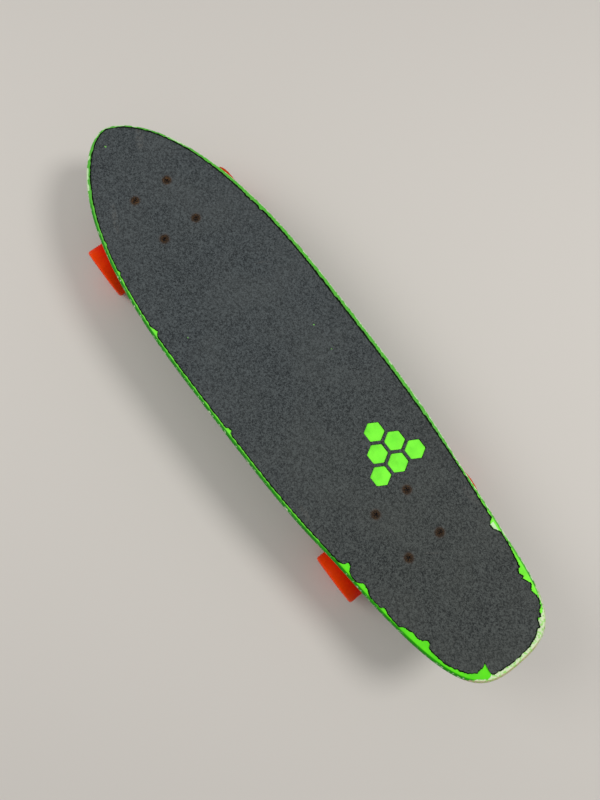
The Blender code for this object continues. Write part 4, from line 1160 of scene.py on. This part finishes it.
# the orange is painted a deeper red towards the truck, as painted shade under the deck, and the wheels on the
# right are painted browner, as painted shade of the deck
into(Base_Color=layered(shown(226, 5, 0), (ramp(maths("ABSOLUTE", side), 0.072, 0.096), shown(255, 70, 0)),
                        (ramp(grains(place, 60.0, 3.0), 0.35, 0.8, 0.0, 0.3), shown(240, 14, 0)),
                        (dirt * 0.2, shown(110, 18, 4)),
                        (ramp(side, -0.02, -0.06, 0.0, 0.45), shown(120, 58, 6))),
     Roughness=largest(dirt, rolled) * 0.25 + 0.32,
     Normal=bump(grains(place, 500.0), 0.00004, Normal=bump(lathe_rings(900.0, 3.0) * rolled, 0.00006)))
print("urethane of the wheels:", len(tree.nodes), "nodes")

# %% [markdown]
# ## The trucks
# Each truck hangs from the deck by a baseplate. Its own frame has x outwards along the board and
# z = 0 at the mounting face, so the pieces are modelled once in that frame and copied to both
# ends of the board, the rear one turned half round.

# %% Sizes of a truck
RING_CENTRE = Vector((-0.010, 0.0, -0.031))
PIVOT_POINT = Vector((0.029, 0.0, -0.0115))
AXLE_POINT = Vector((0.009, 0.0, -0.0535))
KINGPIN_LEAN = math.radians(20.0)
STEER_AXIS = (PIVOT_POINT - RING_CENTRE).normalized()
KINGPIN_LINE = Matrix.Translation(RING_CENTRE) @ Matrix.Rotation(KINGPIN_LEAN, 4, "Y")
STEER_LINE = Matrix.Translation(PIVOT_POINT) @ Matrix.Rotation(math.atan2(STEER_AXIS.x, STEER_AXIS.z), 4, "Y")
AXLE_LINE = Matrix.Translation(AXLE_POINT) @ Matrix.Rotation(-math.pi / 2, 4, "X")
PLATE_LENGTH, PLATE_WIDTH, PLATE_THICKNESS, PLATE_CORNER = 0.084, 0.056, 0.006, 0.009
RISER_THICKNESS = 0.0032
RING_HALF = 0.004
RING_RADIUS = 0.0160
BUSHING_RADIUS = 0.012
BOARD_BUSHING_HEIGHT = 0.013
ROAD_BUSHING_HEIGHT = 0.011
CUP_WASHER_THICKNESS = 0.0016
KINGPIN_RADIUS = 0.00475
KINGPIN_HOLE = KINGPIN_RADIUS + 0.0003
PIVOT_RADIUS = 0.0052
PIVOT_CUP_WALL = 0.0027
HANGER_HALF = 0.060
WHEEL_MIDDLE = 0.0723
BOSS_FACE = RING_HALF + BOARD_BUSHING_HEIGHT + CUP_WASHER_THICKNESS + 3 * GAP
HEAD_SEAT = BOSS_FACE + 0.0055                  # where the kingpin's head sits in the baseplate
HEAD_HOLE = 0.0081
CUP_OUTSIDE = PIVOT_RADIUS + GAP + PIVOT_CUP_WALL
CUP_MOUTH = -0.0045


def truck_line(label):
    """The matrix from a truck's own frame to the board's."""
    x, heading = TRUCKS[label]
    return Matrix.Translation((x, 0, MOUNT_HEIGHT)) @ Matrix.Rotation(heading, 4, "Z")


def hand(label, y):
    """The rider's side of a place in a truck's own frame."""
    return "left" if (y > 0) == (label == "front") else "right"


def shank_cutter(low, high, radius=0.0027):
    return repeated(turned([(radius, low), (radius, high)], 32, solid=True), BOLT_SPOTS)


# %% [markdown]
# A casting has no sharp corners: its blocks flow into each other through fillets. The pattern
# maker's blocks are laid into one another here, a voxel remesh fuses them into one skin, and
# smoothing rounds every corner as the foundry would. Holes and seats are machined afterwards, so
# their edges stay crisp.

# %% Casting helper and the baseplate
RIB_TOP = -0.004


def cast_together(*blocks):
    """Fuse closed blocks into one casting with fillets, and thin its mesh."""
    casting = joined(*blocks)
    modify(casting, "REMESH", mode="VOXEL", voxel_size=0.0006)
    modify(casting, "SMOOTH", factor=0.5, iterations=6)
    return modify(casting, "DECIMATE", ratio=0.5)


def tapered_rib(length, width, low, x, y=0.0, turn=0.0):
    """A cast rib that narrows downwards."""
    rib = narrowed(block(length, width, low, RIB_TOP), low, 0.86, 0.6)
    return put(rib, Matrix.Translation((x, y, 0)) @ Matrix.Rotation(turn, 4, "Z"))


plate = rounded(block(PLATE_LENGTH, PLATE_WIDTH, -PLATE_THICKNESS, 0.002), PLATE_CORNER)
boss = put(turned([(0.0132, BOSS_FACE), (0.0158, BOSS_FACE + 0.0115)], 64, solid=True), KINGPIN_LINE)
housing = put(turned([(0.0121, CUP_MOUTH), (0.0121, 0), (0.0115, 0.0032), (0.0099, 0.0072), (0.0074, 0.0101),
                      (0.0035, 0.0121)], 64, solid=True), STEER_LINE)
ribs = [tapered_rib(0.034, 0.007, -0.0125, 0.010)]
ribs += [tapered_rib(0.020, 0.005, -0.0105, -0.006, y, math.pi / 2) for y in (0.018, -0.018)]
ribs += [tapered_rib(0.016, 0.005, -0.0105, -0.024)]
ribs += [tapered_rib(0.022, 0.0045, -0.0100, 0.024, y, math.pi / 2) for y in (0.014, -0.014)]
baseplate = cast_together(plate, boss, housing, *ribs)
pin_cutter = turned([(KINGPIN_HOLE, 0), (KINGPIN_HOLE, HEAD_SEAT), (HEAD_HOLE, HEAD_SEAT), (HEAD_HOLE, 0.05)],
                    48, solid=True)
cup_hole = CUP_OUTSIDE + GAP
cup_cutter = turned([(cup_hole, -0.02), (cup_hole, 0.0053), (0.005, 0.0085)], 48, solid=True)
for tool in (rounded(block(0.1, 0.1, 0, 0.03), 0.002), put(pin_cutter, KINGPIN_LINE),
             put(cup_cutter, STEER_LINE), shank_cutter(-0.02, 0.01)):
    combine(baseplate, tool)
print("baseplate:", len(baseplate.data.polygons), "faces")

# %% [markdown]
# The hanger is the casting that steers. A bar holds the axle, a tongue with a ring reaches to the
# kingpin, and a neck rises to the ball that turns in the pivot cup.

# %% The hanger
# the bar at each share of its half length: how full it is there, and a scale that rounds its ends
BAR_STATIONS = [(1.0, 0.0, 0.94), (0.985, 0.0, 1.0), (0.78, 0.10, 1.0), (0.60, 0.24, 1.0), (0.42, 0.45, 1.0),
                (0.30, 0.70, 1.0), (0.20, 0.90, 1.0), (0.10, 0.98, 1.0), (0.0, 1.0, 1.0)]
TONGUE_WIDTH = 0.0304
TONGUE_LENGTH = (AXLE_POINT.x - RING_CENTRE.x) / math.cos(KINGPIN_LEAN) + 0.004


def rod(points, smooth=8):
    """A round rod through (place, radius) points, as a curve with a bevel that is made a mesh."""
    bpy.ops.curve.primitive_nurbs_path_add()
    path = bpy.context.object
    path.data.splines.remove(path.data.splines[0])
    spline = path.data.splines.new("BEZIER")
    spline.bezier_points.add(len(points) - 1)
    for knot, (place, radius) in zip(spline.bezier_points, points):
        knot.co, knot.radius = place, radius
        knot.handle_left_type = knot.handle_right_type = "AUTO"
    path.data.bevel_depth, path.data.bevel_resolution, path.data.use_fill_caps = 1.0, 8, True
    path.data.resolution_u = smooth
    only(path)
    bpy.ops.object.convert(target="MESH")
    return put(bpy.context.object)


both_halves = BAR_STATIONS + [(-share, full, scale) for share, full, scale in reversed(BAR_STATIONS[:-1])]
stations = [((0, 0.0065 * full, share * HANGER_HALF), (0.0085 + 0.001 * full) * scale,
             (0.0085 + 0.007 * full) * scale) for share, full, scale in both_halves]
bar = put(drawn_out(stations, 64, solid=True),
          Matrix.Translation(AXLE_POINT) @ Matrix.Rotation(math.pi / 2, 4, "X"))
foot = AXLE_POINT + Vector((0, 0, 0.00325))
top = PIVOT_POINT - STEER_AXIS * 0.012 - Vector((0, 0, 0.0038))
neck = rod([(foot.lerp(top, -0.12), 0.0090), (foot.lerp(top, 0.04), 0.0114), (foot.lerp(top, 0.35), 0.0115),
            (foot.lerp(top, 0.7), 0.0098), (top, 0.0076),
            (PIVOT_POINT - STEER_AXIS * 0.0084 - Vector((0, 0, 0.0008)), 0.0062),
            (PIVOT_POINT - STEER_AXIS * 0.005, 0.0050), (PIVOT_POINT + STEER_AXIS * 0.003, 0.0048)])
bpy.ops.mesh.primitive_uv_sphere_add(segments=32, ring_count=16, radius=PIVOT_RADIUS, location=PIVOT_POINT)
ball = put(bpy.context.object)
ring = put(turned([(0.0158, -RING_HALF), (RING_RADIUS, -RING_HALF + 0.001), (RING_RADIUS, RING_HALF - 0.001),
                   (0.0158, RING_HALF)], 64, solid=True), KINGPIN_LINE)
tongue = put(block(TONGUE_LENGTH, TONGUE_WIDTH, -RING_HALF, RING_HALF),
             KINGPIN_LINE @ Matrix.Translation((TONGUE_LENGTH / 2, 0, 0)))
hanger = cast_together(bar, neck, ball, ring, tongue)
ring_hole = KINGPIN_RADIUS + 0.0025
combine(hanger, put(turned([(ring_hole, -0.006), (ring_hole, 0.006)], 48, solid=True), KINGPIN_LINE))
for y in (1, -1):
    with editing(hanger):
        bpy.ops.mesh.bisect(plane_co=(0, y * (HANGER_HALF - 0.0002), 0), plane_no=(0, y, 0),
                            clear_outer=True, use_fill=True)
print("hanger:", len(hanger.data.polygons), "faces")

# %% [markdown]
# The kingpin carries a stack: a cup washer, the tall board-side bushing, the hanger's ring, the
# cone-shaped road-side bushing, a small cup washer and the lock nut. All of it is turned. The
# bushings have rows of points along their height, because they bend when the hanger steers.

# %% The kingpin's stack
KINGPIN_CORE = 0.0043                           # the radius between its threads
THREAD_PITCH, THREAD_TURNS = 0.00106, 8


def barrel(low, high, low_radius, high_radius, bulge, bore=KINGPIN_RADIUS + 0.0004, rows=12):
    """A bushing between two heights, with rounded ends and rows of points to bend at."""
    skin = []
    for i in range(rows + 1):
        t = i / rows
        ends = 0.0007 * (max(0, 1 - t * rows / 1.2) ** 2 + max(0, 1 - (1 - t) * rows / 1.2) ** 2)
        skin.append((low_radius + (high_radius - low_radius) * t + bulge * math.sin(math.pi * t) - ends,
                     low + (high - low) * t))
    inner = [(bore, high - (high - low) * i / 4) for i in range(5)]
    return turned(skin + inner, 64)


def cup_washer(radius, held, seat, way):
    """A washer whose turned-up rim holds a bushing's end."""
    rim, back, lip = held + 0.0004, seat + way * CUP_WASHER_THICKNESS, seat - way * 0.0012
    return turned([(KINGPIN_HOLE, seat), (rim, seat), (rim, lip), (radius, lip), (radius, back),
                   (KINGPIN_HOLE, back)], 64, rounding=0.0004)


board_low, road_high = RING_HALF + GAP, -RING_HALF - GAP
board_high, road_low = board_low + BOARD_BUSHING_HEIGHT, road_high - ROAD_BUSHING_HEIGHT
nut_seat = road_low - 2 * GAP - CUP_WASHER_THICKNESS
nut_end = nut_seat - KINGPIN_NUT_HEIGHT - KINGPIN_NUT_COLLAR
head = HEAD_SEAT + GAP
pin = turned([(0.0036, nut_end - 0.0015), (KINGPIN_CORE, nut_end - 0.0008), (KINGPIN_CORE, nut_end + 0.010),
              (KINGPIN_RADIUS, nut_end + 0.011), (KINGPIN_RADIUS, head), (0.00775, head),
              (0.00775, head + 0.0043), (0.0070, head + 0.0045)], 48, solid=True)
stack = {
    "board_bushing": barrel(board_low, board_high, BUSHING_RADIUS, BUSHING_RADIUS, 0.0009),
    "road_bushing": barrel(road_low, road_high, 0.0095, BUSHING_RADIUS, -0.0005),
    "board_cup_washer": cup_washer(0.0138, 0.0129, board_high + GAP, 1),
    "road_cup_washer": cup_washer(0.0113, 0.0095, road_low - GAP, -1),
    "kingpin_nut": put(kingpin_nut, Matrix.Translation((0, 0, nut_seat))),
    "kingpin": joined(thread(KINGPIN_CORE, THREAD_PITCH, nut_end - 0.0012, THREAD_TURNS), pin),
}
for name, piece in stack.items():
    put(piece, KINGPIN_LINE)
print("kingpin stack:", list(stack))

# %% [markdown]
# The axle is threaded at both ends and sticks out of the hanger far enough for a wheel, a speed
# washer and a lock nut. The riser pad is a plate below the deck, and the pivot cup is a plastic
# bowl that the hanger's ball turns in.

# %% Axle, riser and pivot cup
WASHER_AT = WHEEL_MIDDLE + BEARING_MIDDLE + BEARING_HALF + GAP
NUT_AT = WASHER_AT + SPEED_WASHER_THICKNESS + GAP
AXLE_END = NUT_AT + AXLE_NUT_HEIGHT + AXLE_NUT_COLLAR + 0.0012
AXLE_RADIUS, AXLE_CORE = 0.004, 0.0036

half_axle = [(0.0031, AXLE_END), (0.0037, AXLE_END - 0.0008), (0.0037, AXLE_END - 0.010),
             (AXLE_RADIUS, AXLE_END - 0.011)]
axle = joined(*(thread(AXLE_CORE, THREAD_PITCH, start, THREAD_TURNS)
                for start in (0.0006 - AXLE_END, AXLE_END - 0.0092)),
              turned(mirrored(half_axle)[::-1], 48, solid=True))
put(axle, AXLE_LINE)
riser = rounded(block(PLATE_LENGTH, PLATE_WIDTH, GAP, GAP + RISER_THICKNESS), PLATE_CORNER)
combine(riser, shank_cutter(-0.01, 0.01))
eased(riser, 0.0005, 50, 3)
inside = PIVOT_RADIUS + GAP
bowl = [(inside * math.cos(a), inside * math.sin(a)) for a in (1.3, 1.0, 0.7, 0.35, 0.0)]
shell = [(inside, CUP_MOUTH), (CUP_OUTSIDE, CUP_MOUTH), (CUP_OUTSIDE, 0.0050), (0.0050, CUP_OUTSIDE),
         (0.0006, CUP_OUTSIDE)]
cup = put(turned([(0.0006, inside)] + bowl + shell, 48, solid=True), STEER_LINE)
print("axle:", round(2 * AXLE_END, 4), "m long")

# %% [markdown]
# ## Put both trucks together
# Every piece is copied into the front and the rear truck's frame, named as its CAD node is, and
# given the body that carries it; the bushings get no body.

# %% Both trucks
def into_truck(piece, label, name, body, slot, finish=None, at=Matrix.Identity(4)):
    """A copy of a truck piece in its place, standing for the CAD node of the same name."""
    made = put(copy_of(piece), truck_line(label) @ at)
    return keep(made, f"{name}_made", body, slot, name, finish=finish)


turn_by = [0.2, 1.1, 0.55, 2.0, 0.8, 1.4, 0.35, 1.75]
for label in TRUCKS:
    hung = f"hanger_{label}"
    into_truck(riser, label, f"riser_pad_{label}", "board", "riser", riser_plastic)
    into_truck(baseplate, label, f"baseplate_{label}", "board", "cast_truck", cast)
    into_truck(hanger, label, hung, hung, "cast_truck", cast)
    into_truck(cup, label, f"pivot_cup_{label}", "board", "pivot_cup", cup_plastic)
    into_truck(axle, label, f"axle_{label}", hung, "hardware", axle_steel)
    for name in ("board_cup_washer", "road_cup_washer", "kingpin"):
        into_truck(stack[name], label, f"{name}_{label}", "board", "hardware", zinc)
    into_truck(stack["kingpin_nut"], label, f"kingpin_nut_{label}", "board", "hardware")
    for name, fixed, moving in (("board_bushing", board_high, board_low),
                                ("road_bushing", road_low, road_high)):
        soft = into_truck(stack[name], label, f"{name}_{label}", None, "bushing", bushing_urethane)
        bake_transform(soft)
    for spot in BOLT_SPOTS:
        corner = f"{label}_{'outer' if spot.x > 0 else 'inner'}_{hand(label, spot.y)}"
        turn = Matrix.Rotation(turn_by.pop(), 4, "Z")
        for piece, name, slot, height in ((bolt, "bolt", "deck_bolts", BOLT_TOP - MOUNT_HEIGHT),
                                          (deck_nut, "bolt_nut", "hardware", -PLATE_THICKNESS - GAP)):
            into_truck(piece, label, f"{name}_{corner}", "board", slot,
                       at=Matrix.Translation(spot + Vector((0, 0, height))) @ turn)
    for y in (1, -1):
        end = f"{label}_{hand(label, y)}"
        outwards = AXLE_LINE @ Matrix.Rotation(0 if y == 1 else math.pi, 4, "X")
        middle, washer, nut = (outwards @ Matrix.Translation((0, 0, z))
                               for z in (WHEEL_MIDDLE, WASHER_AT, NUT_AT))
        into_truck(wheel, label, f"wheel_{end}", f"wheel_{end}", "wheel", urethane, middle)
        for where, way in (("outer", 1), ("inner", -1)):
            into_truck(bearing, label, f"bearing_{end}_{where}", f"wheel_{end}", "bearing",
                       at=middle @ Matrix.Translation((0, 0, way * BEARING_MIDDLE)))
        into_truck(speed_washer, label, f"speed_washer_{end}", hung, "hardware", zinc, washer)
        into_truck(axle_nut, label, f"axle_nut_{end}", hung, "hardware",
                   at=nut @ Matrix.Rotation(math.pi, 4, "X"))
for master in (riser, baseplate, hanger, cup, axle, bolt, deck_nut, axle_nut, wheel, bearing, speed_washer,
               *stack.values()):
    bpy.data.objects.remove(master)

# %% [markdown]
# ## Floor and light
# The floor is plain and pale, and lets a camera below it look up at the trucks. A large soft lamp
# stands behind the board on its right, as the photograph's soft shadow along its left side asks,
# a weaker one fills from ahead on the left, and a pale world does the rest.

# %% Floor and light
FLOOR_COLOUR = shown(205, 200, 192)

bpy.ops.mesh.primitive_plane_add(size=8.0, location=(0, 0, 0))
floor = bpy.context.object
floor.name = "floor"
floor.data.materials.append(material("pale_floor", roughness=0.8, Base_Color=FLOOR_COLOUR))
see_through = out("MixShader", Fac=out("NewGeometry", output="Backfacing"),
                  i1=Signal(tree.nodes["Principled BSDF"].outputs[0]), i2=out("BsdfTransparent"))
tree.links.new(see_through.socket, tree.nodes["Material Output"].inputs["Surface"])


def lamp(name, place, size, power):
    """A round lamp that shines at the middle of the floor."""
    aim = (-Vector(place)).to_track_quat("-Z", "Y").to_euler()
    bpy.ops.object.light_add(type="AREA", location=place, rotation=aim)
    made = bpy.context.object
    made.name = name
    made.data.shape = "DISK"
    made.data.size = size
    made.data.energy = power


lamp("key", (-0.55, -0.86, 1.60), 0.55, 15.6)
lamp("second", (0.95, 0.75, 1.25), 0.90, 8.8)
world = bpy.data.worlds.new("pale studio")
world.use_nodes = True
tree = world.node_tree
upwards = parts(out("TexCoord", output="Generated"))[2]
sky = layered((0.34, 0.34, 0.35, 1.0), (ramp(upwards, 0.0, 1.0), (0.48, 0.48, 0.49, 1.0)))
tree.links.new(sky.socket, tree.nodes["Background"].inputs["Color"])
bpy.context.scene.world = world
bpy.context.scene.view_settings.view_transform = "Standard"
